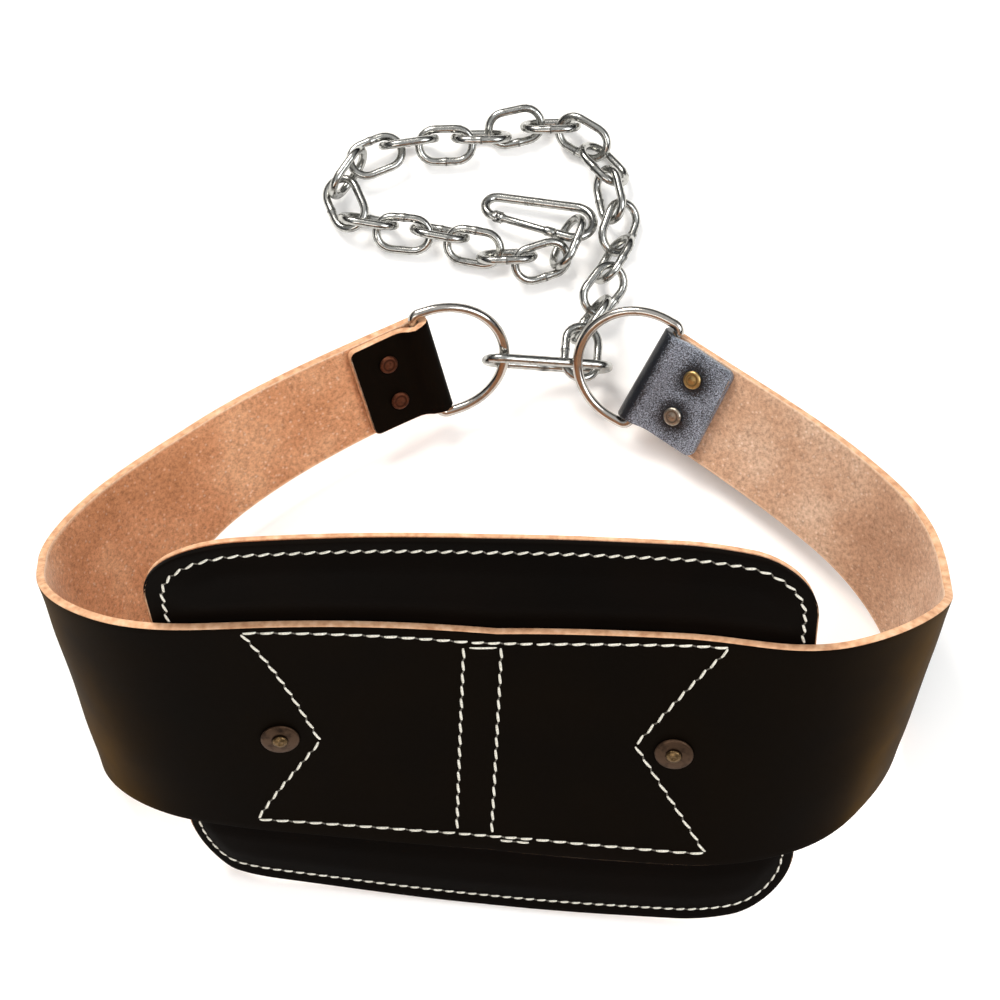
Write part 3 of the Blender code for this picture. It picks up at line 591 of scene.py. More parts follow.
def dyed_leather(tree, where, black, brown, roughness, grain_mm, depth, specular, glint_colour=None):
    """Dyed leather: near black, brown from wearing and as painted sheen at the bends, with a fine grain that
    may be polished and carry painted highlights.
    """
    pores = cells(tree, where, 1 / (grain_mm * MM), "SMOOTH_F1")
    haze = noise(tree, where, 28.0, 6.0)
    # The brown comes in by the mesh's values: wearing, and painted sheen at the strap's bends
    patchy = calc(tree, "MULTIPLY", attribute(tree, "wear_and_bend_sheen"), haze)
    wear_and_sheen_share = calc(tree, "MULTIPLY", patchy, 1.9, clamp=True)
    colour = mixed(tree, wear_and_sheen_share, black, brown)
    if glint_colour:
        # Painted highlights on the crests of the polished grain, held back where painted shade lies round a
        # rivet or along the fold
        glint_grain = carried(tree, noise(tree, where, 1 / (grain_mm * MM), 4.0, 0.7), 0.40, 0.74, 0.0, 2.2)
        glint_tops = calc(tree, "MULTIPLY", glint_grain, haze)
        glint_share = calc(tree, "SUBTRACT", glint_tops, attribute(tree, "rivet_fold_shade"), clamp=True)
        colour = mixed(tree, glint_share, colour, glint_colour)
    height = calc(tree, "ADD", pores, noise(tree, where, 900.0, 3.0))
    return {
        "Base Color": colour,
        "Roughness": carried(tree, haze, 0.0, 1.0, roughness - 0.06, roughness + 0.10),
        "Specular IOR Level": specular,
        "Normal": bump(tree, height, depth, 0.15 * MM),
    }


def flesh_side(tree, where):
    """The undyed flesh side of vegetable leather: matt tan nap with scuffs, redder on the left arm."""
    blotch = noise(tree, where, 22.0, 5.0, 0.6)
    nap = noise(tree, where, 520.0, 6.0, 0.8)
    pits = cells(tree, where, 330.0, "F1")
    across = add_node(tree, "ShaderNodeSeparateXYZ", None, {0: where}).outputs["X"]
    left = ramp(tree, blotch, ((0.25, "#bb8054"), (0.5, "#d99e73"), (0.75, "#efbf96")))
    right = ramp(tree, blotch, ((0.25, "#b58a6b"), (0.5, "#d0a98b"), (0.75, "#e6cab1")))
    base = mixed(tree, carried(tree, across, -0.05, 0.05), left, right)
    shade = ramp(tree, nap, ((0.34, "#a39d97"), (0.5, "#e6e3e0"), (0.62, "#ffffff")))
    tone = mixed(tree, 0.85, base, shade, "MULTIPLY")
    specks = carried(tree, pits, 0.26, 0.10, 0.0, 0.55)
    scuffed = mixed(tree, calc(tree, "MULTIPLY", specks, blotch), tone, "#fbe9d6")
    fuzz = calc(tree, "MULTIPLY", attribute(tree, "fray"), nap)
    return {
        "Base Color": mixed(tree, fuzz, scuffed, "#f0d3b4"),
        "Roughness": 0.92,
        "Specular IOR Level": 0.25,
        "Sheen Weight": 0.15,
        "Normal": bump(tree, calc(tree, "MULTIPLY_ADD", pits, 0.4, nap), 0.55, 0.35 * MM),
    }


def cut_edge(tree, where):
    """The raw cut edge of leather: pinkish tan with faint layers."""
    fibres = noise(tree, where, 260.0, 4.0)
    return {
        "Base Color": ramp(tree, fibres, ((0.3, "#b98662"), (0.55, "#d8a983"), (0.8, "#e7c3a2"))),
        "Roughness": 0.8,
        "Specular IOR Level": 0.25,
        "Normal": bump(tree, fibres, 0.4, 0.2 * MM),
    }


def plated_metal(tree, where, colour, dark, roughness, spots_mm, dirt, ripple):
    """Plated or aged metal: its colour, darker spots of wear and a slightly wavy drawn surface."""
    spots = carried(tree, noise(tree, where, 1 / (spots_mm * MM), 5.0, 0.6), 0.48, 0.72, 0.0, dirt)
    stained = calc(tree, "MAXIMUM", spots, attribute(tree, "stain"), clamp=True)
    return {
        "Base Color": mixed(tree, stained, colour, dark),
        "Roughness": carried(tree, stained, 0.0, 1.0, roughness, roughness + 0.25),
        "Metallic": 1.0,
        "Normal": bump(tree, noise(tree, where, 260.0, 2.0), ripple, 0.4 * MM),
    }


def twisted_thread(tree, where, low, middle, high):
    """Waxed twisted thread, drawn coarser than life so that the twist shows."""
    twist = noise(tree, where, 1500.0, 2.0)
    return {
        "Base Color": ramp(tree, twist, ((0.3, low), (0.55, middle), (0.8, high))),
        "Roughness": 0.6,
        "Normal": bump(tree, twist, 0.5, 0.2 * MM),
    }


def matt_floor(tree, where, colour):
    """A matt floor with a faint glow of its own, so that its shadows stay pale."""
    paint = linear(colour)
    return {
        "Base Color": paint,
        "Roughness": 0.9,
        "Specular IOR Level": 0.1,
        "Emission Color": paint,
        "Emission Strength": 0.22,
    }


# Each look's name and function, then its values in the order of the function
# The strap's brown is wearing, and painted sheen at its bends
STRAP_LEATHER = ("dyed_strap_leather", dyed_leather, "#0a0705", "#4a3413", 0.56, 0.7, 0.12, 0.012)
PAD_LEATHER = ("dyed_pad_leather", dyed_leather, "#050403", "#20150d", 0.58, 0.9, 0.14, 0.022)
# The flap's last colour is painted highlights on its grain
FLAP_LEATHER = ("polished_flap_leather", dyed_leather, "#14181e", "#22262c", 0.30, 0.6, 0.7, 0.5, "#bcc6d6")
FLESH = ("flesh_side_leather", flesh_side)
CUT_EDGE = ("cut_leather_edge", cut_edge)
ZINC = ("zinc_plated_wire", plated_metal, "#adada9", "#3f3f3c", 0.18, 2.6, 0.75, 0.08)
NICKEL = ("nickel_plated_wire", plated_metal, "#b9b5af", "#5f5952", 0.15, 6.0, 0.5, 0.08)
BRONZE = ("darkened_bronze", plated_metal, "#4c3a2d", "#211813", 0.48, 4.0, 0.8, 0.25)
PEENED_BRONZE = ("peened_bronze", plated_metal, "#6b5539", "#2c2016", 0.38, 1.2, 0.8, 0.45)
COPPER = ("copper_rivets", plated_metal, "#5a3626", "#2a1610", 0.55, 2.5, 0.85, 0.3)
BRASS = ("brass_rivet", plated_metal, "#b59a66", "#5f4a2c", 0.34, 1.6, 0.7, 0.3)
WORN_PLATE = ("plated_rivet", plated_metal, "#aaa294", "#3c3128", 0.34, 1.4, 0.8, 0.3)
THREADS = (
    ("waxed_thread", twisted_thread, "#b9b2a0", "#e9e4d6", "#fbf8ee"),
    # The second thread is darkened as painted shade where it dips into the holes
    ("sunk_thread", twisted_thread, "#3a352e", "#5a544a", "#7a7367"),
)


# Leather pieces


def fold_sizes(side):
    """Start of the fold, middle radius, angle past the half turn and the run lengths of a folded end."""
    length = SIDES[side]["length"]
    start = length - LOOP_INNER - WALL
    middle = LOOP_INNER + WALL / 2
    past = math.acos(1 - (2 * LOOP_INNER - FLAP_GAP) / (middle + LOOP_BACK))
    back_x = start - (middle + LOOP_BACK) * math.sin(past)
    runs = (middle * (math.pi + past), LOOP_BACK * past, back_x - (length - FLAP_LONG))
    return start, middle, past, back_x, runs


def strap_length(side):
    """Flat length of the strap from the front centre to the end of a side's flap."""
    start, _, _, _, runs = fold_sizes(side)
    return start + sum(runs)


def bend_strap(u, v, z):
    """Bends flat strap points: u along from the front centre, v across, z into the wall."""
    points = np.empty((len(u), 3))
    for side, chosen in (("left", u < 0), ("right", u >= 0)):
        travel = np.abs(u[chosen])
        start, middle, past, back_x, runs = fold_sizes(side)
        turn = (travel - start) / middle
        back = past - (travel - start - runs[0]) / LOOP_BACK
        flap = travel - start - runs[0] - runs[1]
        cases = [travel <= start, travel <= start + runs[0], travel <= start + runs[0] + runs[1]]
        deep = 1.5 * WALL + FLAP_GAP
        places = [travel, start + middle * np.sin(turn), back_x + LOOP_BACK * np.sin(back)]
        loop_depth = WALL + LOOP_INNER - middle * np.cos(turn)
        depths = [WALL / 2, loop_depth, deep + LOOP_BACK - LOOP_BACK * np.cos(back)]
        x = np.select(cases, places, back_x - flap)
        depth = np.select(cases, depths, deep)
        angle = np.select(cases, [0.0, turn, math.pi + back], math.pi)
        thick = z[chosen] - WALL / 2
        points[chosen] = eased(side, x - np.sin(angle) * thick, v[chosen], depth + np.cos(angle) * thick)
    return points + SHIFT


def eased(side, x, v, under):
    """Points of one side's leather, whose edges take the mean of a stretch near the bends to stay round."""
    share = np.abs(v) / frames_at(side, x)[4]
    middle = np.where(v < 0, EASE_LOW_AT, EASE_AT)
    spread = EASE * np.exp(-(((x - middle) / EASE_REACH) ** 2)) * soft_step(0.2, 0.9, share)
    steps = np.linspace(-1, 1, 13)[1:-1]
    weights = np.cos(steps * math.pi / 2) ** 2
    points = np.zeros((len(x), 3))
    for step, weight in zip(steps, weights / weights.sum()):
        centre, _, across, outward, _ = frames_at(side, x + spread * step)
        points += weight * (centre + across * v[:, None] - outward * under[:, None])
    return points


def strap_half(u):
    """Half the strap's width at a flat distance u, narrower on the flap and rounded at its corners."""
    half = np.empty(len(u))
    for side, chosen in (("left", u < 0), ("right", u >= 0)):
        travel = np.abs(u[chosen])
        start, middle, _, _, _ = fold_sizes(side)
        length = SIDES[side]["length"]
        half[chosen] = frames_at(side, np.minimum(travel, length))[4]
        half[chosen] -= np.where(travel > start + middle * 3.0, FLAP_NARROWER, 0.0)
        short = np.clip(FLAP_CORNER - (strap_length(side) - travel), 0.0, FLAP_CORNER)
        half[chosen] -= FLAP_CORNER - np.sqrt(FLAP_CORNER**2 - short**2)
    return half


def small_length(name, description, default):
    """A length that a user would change."""
    return FloatProperty(name=name, description=description, default=default, unit="LENGTH", precision=4)


class BeltSizes(PropertyGroup):
    """Sizes of thread and edges that a user would change."""

    thread: small_length("Thread", "Thickness of the thread", 1.25 * MM)
    strap_stitch: small_length("Strap stitch", "Length of a stitch on the strap", 7.5 * MM)
    pad_stitch: small_length("Pad stitch", "Length of a stitch round the pad", 6.4 * MM)
    edge: small_length("Edge", "Rounding of a cut leather edge", 0.7 * MM)
    puff: small_length("Puff", "How far the pad's face swells inside its seam", 1.6 * MM)


class BeltColours(PropertyGroup):
    """Colours that a user would change, as sRGB hex values."""

    floor: StringProperty(name="Floor", description="Colour of the studio floor", default="#f4f3f1")


class BELT_OT_strap(Operator):
    """Makes the strap with its folded ends"""

    bl_idname = "belt.strap"
    bl_label = "Strap"

    def execute(self, context):
        edge = context.scene.belt_sizes.edge

        def flat(share_u, share_v):
            side = share_u * 2 - 1
            step = END_COLUMNS * 2 / STRAP_GRID[0]
            rest = np.clip((1 - np.abs(side)) / step, 0, 1)
            curl = FLAP_CORNER * (1 - np.cos(rest * math.pi / 2))
            reach = np.clip((np.abs(side) - (1 - step)) / (1 - step), -1, 0)
            end = np.where(side < 0, strap_length("left"), strap_length("right"))
            u = np.sign(side) * np.where(rest < 1, end - curl, (end - FLAP_CORNER) * (1 + reach))
            return np.stack([u, (share_v * 2 - 1) * strap_half(u)], 1)

        bm = slab(STRAP_GRID, WALL, edge, flat)
        colour_faces(bm, 0, 1, 2)
        start, _, _, back_x, runs = fold_sizes("right")
        for face in bm.faces:
            if face.material_index != 1 and face.calc_center_median().x > start + POLISH_AND_GLINTS_FROM:
                face.material_index = 3
        rivet_u = start + runs[0] + runs[1] + back_x - (SIDES["right"]["length"] - END_RIVET_IN)
        x, y, _ = np.array([vert.co[:] for vert in bm.verts]).T
        least, most = STRAP_WEAR_AND_SHEEN
        # Painted shade round the right flap's rivets and in a band along its fold
        reach = np.hypot(x - rivet_u, np.abs(y) - END_RIVET_APART / 2)
        fold = 1 - soft_step(*FOLD_BAND, x - start)
        # Brown wearing along the strap, and painted sheen at its bends
        carry(bm, "wear_and_bend_sheen", least + most * np.exp(-(((np.abs(x) - BEND_SHEEN_AT) / BEND_SHEEN_REACH) ** 2)))
        carry(bm, "rivet_fold_shade", np.maximum(np.exp(-((reach / (END_RIVET_WIDE * 0.8)) ** 2)), fold))
        carry(bm, "fray", np.where(strap_half(x) - np.abs(y) < 2 * edge, FRAY, 0.0))
        bend_slab(bm, bend_strap)
        looks = (STRAP_LEATHER, FLESH, CUT_EDGE, FLAP_LEATHER)
        finish(bm, "strap", looks, ["main_strap"], slot="black_leather")
        return {"FINISHED"}


def pad_outline(x):
    """Lowest and highest place across at x, of the pad's outline."""
    inside = np.clip(np.abs(x) - (PAD_WIDE / 2 - PAD_CORNER), 0.0, PAD_CORNER)
    cut = PAD_CORNER - np.sqrt(PAD_CORNER**2 - inside**2)
    return cut - PAD_BELOW, PAD_ABOVE - cut


def pad_flat(share_u, share_v):
    """Flat points of the pad, with columns set closer round its corners."""
    side = share_u * 2 - 1
    straight = 1 - PAD_CORNER / (PAD_WIDE / 2)
    rest = np.clip((np.abs(side) - straight) / (1 - straight), 0, 1)
    x = np.where(
        np.abs(side) <= straight,
        np.abs(side) * PAD_WIDE / 2,
        PAD_WIDE / 2 - PAD_CORNER * (1 - np.sin(rest * math.pi / 2)),
    ) * np.sign(side)
    low, high = pad_outline(x)
    return np.stack([x, low + (high - low) * share_v], 1)


def pad_rim_distance(x, v):
    """How far a flat point of the pad lies inside its outline."""
    wide = PAD_WIDE / 2
    middle = (PAD_ABOVE - PAD_BELOW) / 2
    high = (PAD_ABOVE + PAD_BELOW) / 2
    a = np.abs(x) - (wide - PAD_CORNER)
    b = np.abs(v - middle) - (high - PAD_CORNER)
    corner = np.hypot(np.maximum(a, 0), np.maximum(b, 0)) + np.minimum(np.maximum(a, b), 0)
    return PAD_CORNER - corner


def pad_swell(x, v, puff):
    """Swelling of the pad's face inside its seam, none under the strap, with a dip along the thread."""
    rim = pad_rim_distance(x, v)
    inside = soft_step(PAD_SEAM_IN, PAD_SEAM_IN + 11 * MM, rim)
    clear = soft_step(2.5 * MM, 12 * MM, np.abs(v) - half_width(x))
    beyond = soft_step(0, 14 * MM, rim)
    groove = np.exp(-(((rim - PAD_SEAM_IN) / GROOVE[0]) ** 2)) * GROOVE[1]
    return puff * inside * clear * beyond - groove


class BELT_OT_pad(Operator):
    """Makes the pad's leather face and its tan lining"""

    bl_idname = "belt.pad"
    bl_label = "Back pad"

    def execute(self, context):
        sizes = context.scene.belt_sizes
        top = WALL + PAD_GAP
        bm = slab(PAD_GRID, PAD_FACE_WALL, sizes.edge, pad_flat)
        colour_faces(bm, 0, 1, 0)
        carry(bm, "wear_and_bend_sheen", [PAD_WEAR] * len(bm.verts))

        def swollen(x, v, z):
            swell = pad_swell(x, v, sizes.puff) * soft_step(0, 1, 1 - z / PAD_FACE_WALL)
            return on_pad(x, v, top + z - swell)

        bend_slab(bm, swollen)
        finish(bm, "pad_front", (PAD_LEATHER, CUT_EDGE), ["pad_face"], slot="black_leather")
        under = top + PAD_FACE_WALL + LINING_GAP
        bm = slab(LINING_GRID, PAD_LINING_WALL, sizes.edge, pad_flat)
        colour_faces(bm, 0, 0, 1)
        bend_slab(bm, lambda x, v, z: on_pad(x, v, under + z))
        finish(bm, "pad_back", (FLESH, CUT_EDGE), ["pad_lining"], slot="tan_leather")
        return {"FINISHED"}


# Thread


def stitch(bm, one, two, normal, thread):
    """One run of thread from hole to hole, which dips into the leather at both ends. Returns its points."""
    ahead = unit(two - one)
    long = np.linalg.norm(two - one)
    made = bmesh.ops.create_uvsphere(bm, u_segments=8, v_segments=7, radius=1.0)["verts"]
    for vert in made:
        x, y, z = vert.co
        plump = max(math.hypot(x, y), 0.05) ** -0.5 * thread / 2
        sink = (0.75 - 1.1 * z**4) * thread / 3
        vert.co = (z * long * 0.54, y * plump, x * plump * 0.75 + sink)
    place = axes_matrix((one + two) / 2, ahead, np.cross(normal, ahead))
    bmesh.ops.transform(bm, verts=made, matrix=place)
    return made


def seam(bm, path, pitch, thread, slant=0.0, place=leather):
    """Even stitches along a flat path of (x, v), set by place(x, v, depth) and joined by sunk thread,
    darkened as painted shade.
    """
    path = np.asarray(path, float)
    travel = distances(path)
    fine = np.linspace(0, travel[-1], SEAM_POINTS)
    x = np.interp(fine, travel, path[:, 0])
    v = np.interp(fine, travel, path[:, 1])
    travel = distances(place(x, v, 0.0))
    count = max(int(round(travel[-1] / pitch)), 1)
    steps = np.linspace(0, travel[-1], count + 1)
    x = np.interp(steps, travel, x)
    v = np.interp(steps, travel, v)
    points = place(x, v, 0.0)
    under = place(x, v, 1 * MM)
    runs = []
    for i in range(count):
        normal = unit(points[i] - under[i] + points[i + 1] - under[i + 1])
        step = points[i + 1] - points[i]
        reach = (step + np.cross(normal, step) * slant) * (0.5 - STITCH_GAP)
        middle = (points[i] + points[i + 1]) / 2
        runs.append((middle - reach, middle + reach, normal))
        stitch(bm, *runs[-1], thread)
    # Thread between the stitches sinks into the holes and takes the dark thread, as painted shade
    for (_, one, normal), (two, _, _) in zip(runs, runs[1:]):
        for vert in stitch(bm, one, two, normal, thread * SUNK_SHARE):
            for face in vert.link_faces:
                face.material_index = 1


class BELT_OT_strap_thread(Operator):
    """Sews the bow shaped seam and the two middle seams on the strap's front"""

    bl_idname = "belt.strap_thread"
    bl_label = "Strap thread"

    def execute(self, context):
        sizes = context.scene.belt_sizes
        bm = bmesh.new()
        corners = np.asarray(BOW_CORNERS) * MM
        for one, two in zip(corners, np.roll(corners, -1, 0)):
            slant = 0.10 if abs(two[1] - one[1]) < 0.1 * abs(two[0] - one[0]) else 0.16
            seam(bm, (one, two), sizes.strap_stitch, sizes.thread, slant)
        for one, two in np.asarray(MIDDLE_SEAMS) * MM:
            seam(bm, (one, two), sizes.strap_stitch, sizes.thread, 0.14)
        seam(bm, np.asarray(JUMP) * MM, 18 * MM, sizes.thread * 0.8)
        seam(bm, np.asarray(SEWN_BACK) * MM, 6.5 * MM, sizes.thread * 0.9)
        finish(bm, "strap_thread", THREADS, slot="black_leather")
        return {"FINISHED"}


class BELT_OT_pad_thread(Operator):
    """Sews the seam round the pad"""

    bl_idname = "belt.pad_thread"
    bl_label = "Pad thread"

    def execute(self, context):
        sizes = context.scene.belt_sizes
        bm = bmesh.new()
        wide = PAD_WIDE / 2 - PAD_SEAM_IN
        corner = PAD_CORNER - PAD_SEAM_IN

        def on_face(x, v, under):
            return on_pad(x, v, WALL + PAD_GAP + under - pad_swell(x, v, sizes.puff))

        for side, edge, pitch, thread, slant in (
            (1, PAD_ABOVE, sizes.pad_stitch, sizes.thread, 0.3),
            (-1, PAD_BELOW, sizes.pad_stitch * LOWER_STITCH, sizes.thread * LOWER_THREAD, 0.12),
        ):
            angles = np.radians(np.concatenate([np.linspace(0, 90, 10), np.linspace(90, 180, 10)]))
            middle = np.where(np.arange(20) < 10, wide - corner, corner - wide)
            round_x = side * (middle + corner * np.cos(angles))
            round_v = side * (edge - PAD_SEAM_IN - corner + corner * np.sin(angles))
            path = [(side * wide, 0.0), *zip(round_x, round_v), (-side * wide, 0.0)]
            seam(bm, path, pitch, thread, slant, on_face)
        finish(bm, "pad_thread", THREADS, slot="black_leather")
        return {"FINISHED"}


# Metal pieces


class BELT_OT_burrs(Operator):
    """Makes the two large rivets with their washers"""

    bl_idname = "belt.burrs"
    bl_label = "Burr rivets"

    def execute(self, context):
        under = WALL + PAD_GAP + PAD_FACE_WALL + LINING_GAP + PAD_LINING_WALL + RIVET_GAP
        for side, (x, v) in BURR_AT.items():
            at = leather(x, v, 0.0)[0]
            outward = at - leather(x, v, 1 * MM)[0]
            bm = bmesh.new()
            turned_piece(bm, raised(BURR_PLATE, RIVET_GAP), at, outward, 56)
            finish(bm, side + "_burr_plate", [BRONZE], [side + "_burr_washer"], slot="dark_bronze")
            bm = bmesh.new()
            turned_piece(bm, raised(BURR_HEAD, RIVET_GAP) + raised(BURR_FOOT, -under), at, outward, 32)
            finish(bm, side + "_burr_pin", [PEENED_BRONZE], [side + "_burr_rivet"], slot="dark_bronze")
        return {"FINISHED"}


class BELT_OT_end_rivets(Operator):
    """Makes the four small rivets of the folded ends"""

    bl_idname = "belt.end_rivets"
    bl_label = "End rivets"

    def execute(self, context):
        metals = {"right_upper": BRASS, "right_lower": WORN_PLATE}
        profile = raised(END_HEAD, RIVET_GAP) + raised(END_FOOT, -2 * WALL - FLAP_GAP - RIVET_GAP)
        rim = END_RIVET_WIDE / 2
        for side in SIDES:
            x = SIDES[side]["length"] - END_RIVET_IN
            centre, _, across, outward, _ = (value[0] for value in frames_at(side, x))
            for where, v in (("upper", END_RIVET_APART / 2), ("lower", -END_RIVET_APART / 2)):
                bm = bmesh.new()
                at = Vector(centre + across * v + SHIFT)
                turned_piece(bm, profile, at, outward, 36)
                stain = bm.verts.layers.float.new("stain")
                for vert in bm.verts:
                    reach = (vert.co - at).cross(Vector(outward)).length
                    vert[stain] = 0.8 if 0.5 * rim < reach < 0.7 * rim else 0.0
                name = side + "_" + where
                slot = "aged_copper" if side == "left" else "worn_brass"
                finish(bm, name + "_rivet", [metals.get(name, COPPER)], [name + "_end_rivet"], slot=slot)
        return {"FINISHED"}


class BELT_OT_rings(Operator):
    """Makes the two D rings"""

    bl_idname = "belt.rings"
    bl_label = "D rings"

    def execute(self, context):
        half = RING_INSIDE / 2 + RING_WIRE / 2
        corner = (
            ("run", half - RING_CORNER, 2),
            ("bend", RING_CORNER, 90, 7),
            ("run", RING_SHOULDER - RING_CORNER, 1),
        )
        moves = (*corner, ("bend", half, 180, 36), *reversed(corner))
        stretch = (RING_DEEP - RING_SHOULDER) / half
        for side in SIDES:
            centre, along, across, outward, _ = (value[0] for value in frames_at(side, fold_sizes(side)[0]))
            bar = centre - outward * (WALL + LOOP_INNER) + SHIFT
            tilt = math.radians(RING_TILT[side])
            reach = math.cos(tilt) * along - math.sin(tilt) * outward
            bm = bmesh.new()
            bent_wire(bm, RING_WIRE / 2, 20, moves, closed=True)
            for vert in bm.verts:
                if vert.co.y > RING_SHOULDER:
                    vert.co.y = RING_SHOULDER + (vert.co.y - RING_SHOULDER) * stretch
            bmesh.ops.transform(bm, verts=bm.verts[:], matrix=axes_matrix(bar, across, reach))
            finish(bm, side + "_ring", [NICKEL], [side + "_d_ring"], slot="nickel_steel")
        return {"FINISHED"}


def node_axes(node):
    """Centre of a packed link and the directions of its length and width, from its own points."""
    points = np.array([vert.co[:] for vert in frame["nodes"][node].data.vertices])
    points = np.unique(points.round(7), axis=0)
    centre = points.mean(0)
    _, _, axes = np.linalg.svd(points - centre, full_matrices=False)
    return centre, axes[0], axes[1]


def link_wire(name, node, sizes, sides):
    """An oval link of round wire on a packed link, with the mark of its weld on one long side."""
    long, wide, wire, weld = sizes
    radius = (wide - wire) / 2
    straight = long - wide
    bm = bmesh.new()
    turn = (("run", straight / 2, 6), ("bend", radius, 180, 12))
    moves = (*turn, ("run", straight, 12), *reversed(turn))
    bent_wire(bm, wire / 2, sides, moves, start=(0, -radius, 0), closed=True)
    stain = bm.verts.layers.float.new("stain")
    for vert in bm.verts:
        x, y, z = vert.co
        if y < 0 and abs(x) < weld * 1.6:
            swell = math.exp(-((x / (weld * 0.7)) ** 2))
            middle = Vector((x, -radius, 0))
            vert.co = middle + (vert.co - middle) * (1 + WELD_SWELL * swell)
            vert[stain] = 0.9 if abs(x) < weld * 0.3 else 0.0
    centre, along, side = node_axes(node)
    bmesh.ops.transform(bm, verts=bm.verts[:], matrix=axes_matrix(centre, along, side))
    finish(bm, name, [ZINC], [node], slot="zinc_steel")


class BELT_OT_chain(Operator):
    """Makes the long link and the chain's links"""

    bl_idname = "belt.chain"
    bl_label = "Chain"

    def execute(self, context):
        link_wire("long_link", "connecting_link", LONG_LINK, 20)
        for node in sorted(frame["nodes"]):
            if node.startswith("chain_link_"):
                link_wire("wire_link_" + node[-2:], node, CHAIN_LINK, 16)
        return {"FINISHED"}


class BELT_OT_hook(Operator):
    """Makes the snap hook, its gate and the gate's pin"""

    bl_idname = "belt.hook"
    bl_label = "Snap hook"

    def execute(self, context):
        at, along, across, normal, taper, start, end, line, pivot = hook_frame()
        at = at + SHIFT
        slope = math.degrees(taper)
        tip = pivot + line * GATE_LONG
        angle = math.atan2(line[1], line[0])
        run = float(np.linalg.norm(end - start))
        bm = bmesh.new()
        moves = (
            ("run", TANG, 3),
            ("bend", HOOK_NARROW, 180 - 2 * slope, 18),
            ("run", run, 12),
            ("bend", HOOK_BROAD, 180 + 2 * slope, 22),
            ("run", run - PIVOT_IN - GATE_LONG - 0.5 * MM, 4),
        )
        first = start + line * TANG
        bent_wire(bm, HOOK_WIRE / 2, 20, moves, start=(first[0], first[1], 0), heading=angle + math.pi)
        for vert in bm.verts:
            reach = (vert.co.x - pivot[0]) * line[0] + (vert.co.y - pivot[1]) * line[1] - PIVOT_IN
            if vert.co.y > 0 and vert.co.x < tip[0] - 4 * MM:
                vert.co.z *= 1 - TANG_FLAT * float(soft_step(-5.5 * MM, -1.5 * MM, reach))
        bmesh.ops.transform(bm, verts=bm.verts[:], matrix=axes_matrix(at, along, across))
        finish(bm, "hook_body", [ZINC], ["carabiner_body"], slot="zinc_steel")

        hinge = at + along * pivot[0] + across * pivot[1]
        ahead = along * line[0] + across * line[1]
        bm = bmesh.new()
        turned_piece(bm, raised(GATE), hinge, ahead, 32)
        for side in (-1, 1):
            turned_piece(bm, raised(CHEEK), hinge, normal * side, 24)
            bar = bmesh.ops.create_cube(bm, size=1.0)["verts"]
            shape = Matrix.Diagonal((*CHEEK_BAR, 1.0))
            middle = hinge + ahead * 1.6 * MM + normal * side * 1.8 * MM
            place = axes_matrix(middle, ahead, np.cross(normal, ahead))
            bmesh.ops.transform(bm, verts=bar, matrix=place @ shape)
        finish(bm, "hook_gate_sleeve", [ZINC], ["carabiner_gate"], body="hook_gate", slot="zinc_steel")

        bm = bmesh.new()
        turned_piece(bm, raised(PIN), hinge, normal, 20)
        finish(bm, "hook_pin", [NICKEL], ["carabiner_pin"], slot="zinc_steel")
        return {"FINISHED"}


# Studio


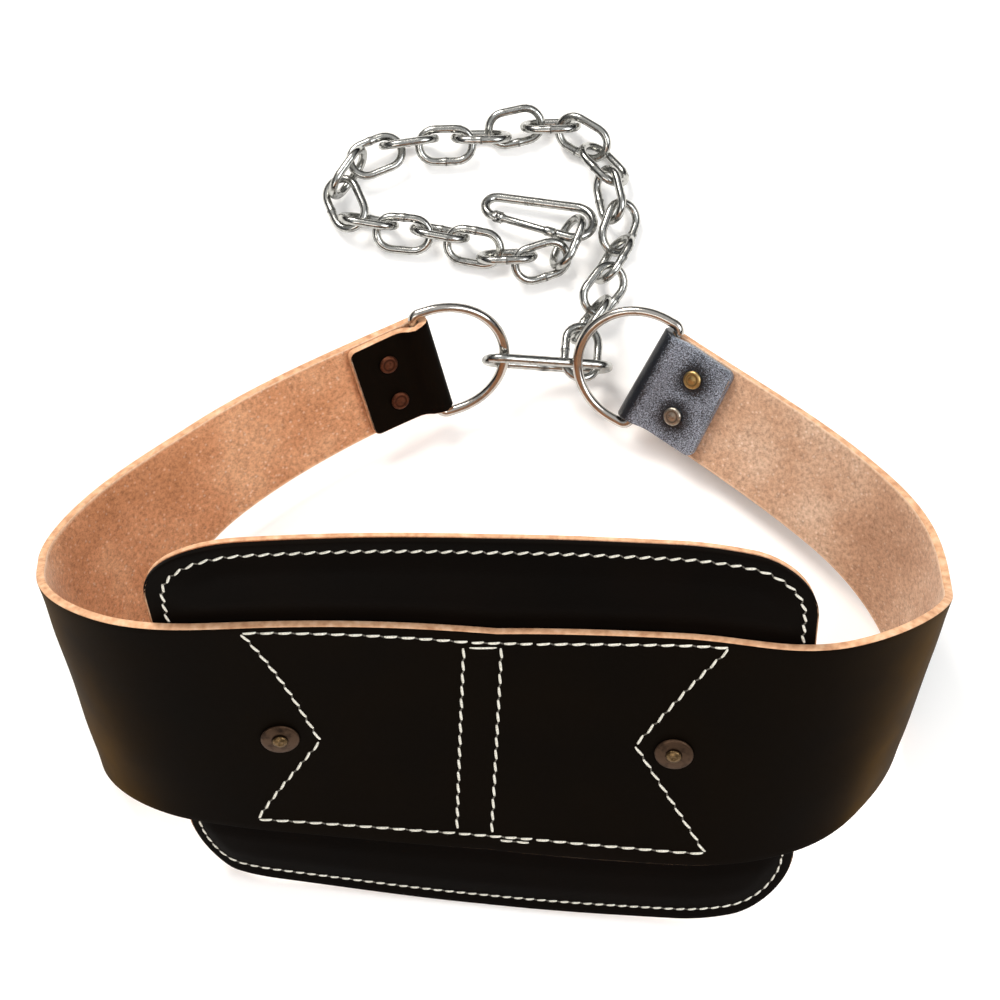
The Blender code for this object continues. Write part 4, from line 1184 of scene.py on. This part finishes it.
class BELT_OT_stage(Operator):
    """Sets the floor, the lights, the surroundings and the camera"""

    bl_idname = "belt.stage"
    bl_label = "Studio"

    def execute(self, context):
        scene = context.scene
        bm = bmesh.new()
        bmesh.ops.create_grid(bm, x_segments=2, y_segments=2, size=4.0)
        mesh = bpy.data.meshes.new("studio_floor")
        bm.to_mesh(mesh)
        bm.free()
        mesh.materials.append(material("matt_studio_floor", matt_floor, scene.belt_colours.floor))
        floor = bpy.data.objects.new("studio_floor", mesh)
        floor.location.z = -0.0005
        scene.collection.objects.link(floor)

        world = bpy.data.worlds.new("studio_surroundings")
        world.use_nodes = True
        tree = world.node_tree
        tree.nodes.clear()
        direction = add_node(tree, "ShaderNodeTexCoord").outputs["Generated"]
        height = add_node(tree, "ShaderNodeSeparateXYZ", None, {0: direction}).outputs["Z"]
        sky = ramp(tree, height, ((0.0, "#0e0e0f"), (0.32, "#19191b"), (0.62, "#8f9092"), (0.92, "#ffffff")))
        glow = add_node(tree, "ShaderNodeBackground", None, {"Color": sky, "Strength": 0.75})
        add_node(tree, "ShaderNodeOutputWorld", None, {"Surface": glow.outputs[0]})
        scene.world = world

        for name, place, size, watts, tint in (
            ("key_softbox", (-0.9, 1.3, 1.9), 1.0, 60.0, "#fffaf4"),
            ("fill_softbox", (1.5, -0.5, 1.7), 1.4, 32.0, "#fafcff"),
            ("front_softbox", (-0.6, -1.9, 1.5), 1.4, 20.0, "#fffcf8"),
        ):
            lamp = bpy.data.lights.new(name, "AREA")
            lamp.shape = "SQUARE"
            lamp.size = size
            lamp.energy = watts
            lamp.color = linear(tint)[:3]
            thing = bpy.data.objects.new(name, lamp)
            thing.location = place
            thing.rotation_euler = (Vector((0, 0, 0.05)) - Vector(place)).to_track_quat("-Z", "Y").to_euler()
            scene.collection.objects.link(thing)

        eye = bpy.data.cameras.new("camera")
        eye.lens = CAMERA_LENS
        eye.sensor_width = 36.0
        eye.clip_end = 20.0
        camera = bpy.data.objects.new("camera", eye)
        ahead = Vector(CAMERA_AIM) - Vector(CAMERA_PLACE)
        turn = ahead.to_track_quat("-Z", "Y").to_matrix().to_4x4()
        roll = Matrix.Rotation(math.radians(CAMERA_ROLL), 4, "Z")
        camera.matrix_world = Matrix.Translation(CAMERA_PLACE) @ turn @ roll
        scene.collection.objects.link(camera)
        scene.camera = camera
        scene.view_settings.view_transform = "Standard"
        return {"FINISHED"}


OPERATORS = (
    BELT_OT_strap,
    BELT_OT_pad,
    BELT_OT_strap_thread,
    BELT_OT_pad_thread,
    BELT_OT_burrs,
    BELT_OT_end_rivets,
    BELT_OT_rings,
    BELT_OT_chain,
    BELT_OT_hook,
    BELT_OT_stage,
)


class BELT_PT_panel(Panel):
    """Lists the belt's pieces"""

    bl_idname = "BELT_PT_panel"
    bl_label = "Dip belt"
    bl_space_type = "VIEW_3D"
    bl_region_type = "UI"
    bl_category = "Dip belt"

    def draw(self, context):
        for group in (context.scene.belt_sizes, context.scene.belt_colours):
            for name in group.__annotations__:
                self.layout.prop(group, name)
        for operator in OPERATORS:
            self.layout.operator(operator.bl_idname)


CLASSES = (BeltSizes, BeltColours, *OPERATORS, BELT_PT_panel)


def register():
    for item in CLASSES:
        bpy.utils.register_class(item)
    bpy.types.Scene.belt_sizes = PointerProperty(type=BeltSizes)
    bpy.types.Scene.belt_colours = PointerProperty(type=BeltColours)


def unregister():
    del bpy.types.Scene.belt_colours
    del bpy.types.Scene.belt_sizes
    for item in reversed(CLASSES):
        bpy.utils.unregister_class(item)


def main():
    register()
    for operator in OPERATORS:
        group, name = operator.bl_idname.split(".")
        getattr(getattr(bpy.ops, group), name)()


if __name__ == "__main__":
    main()
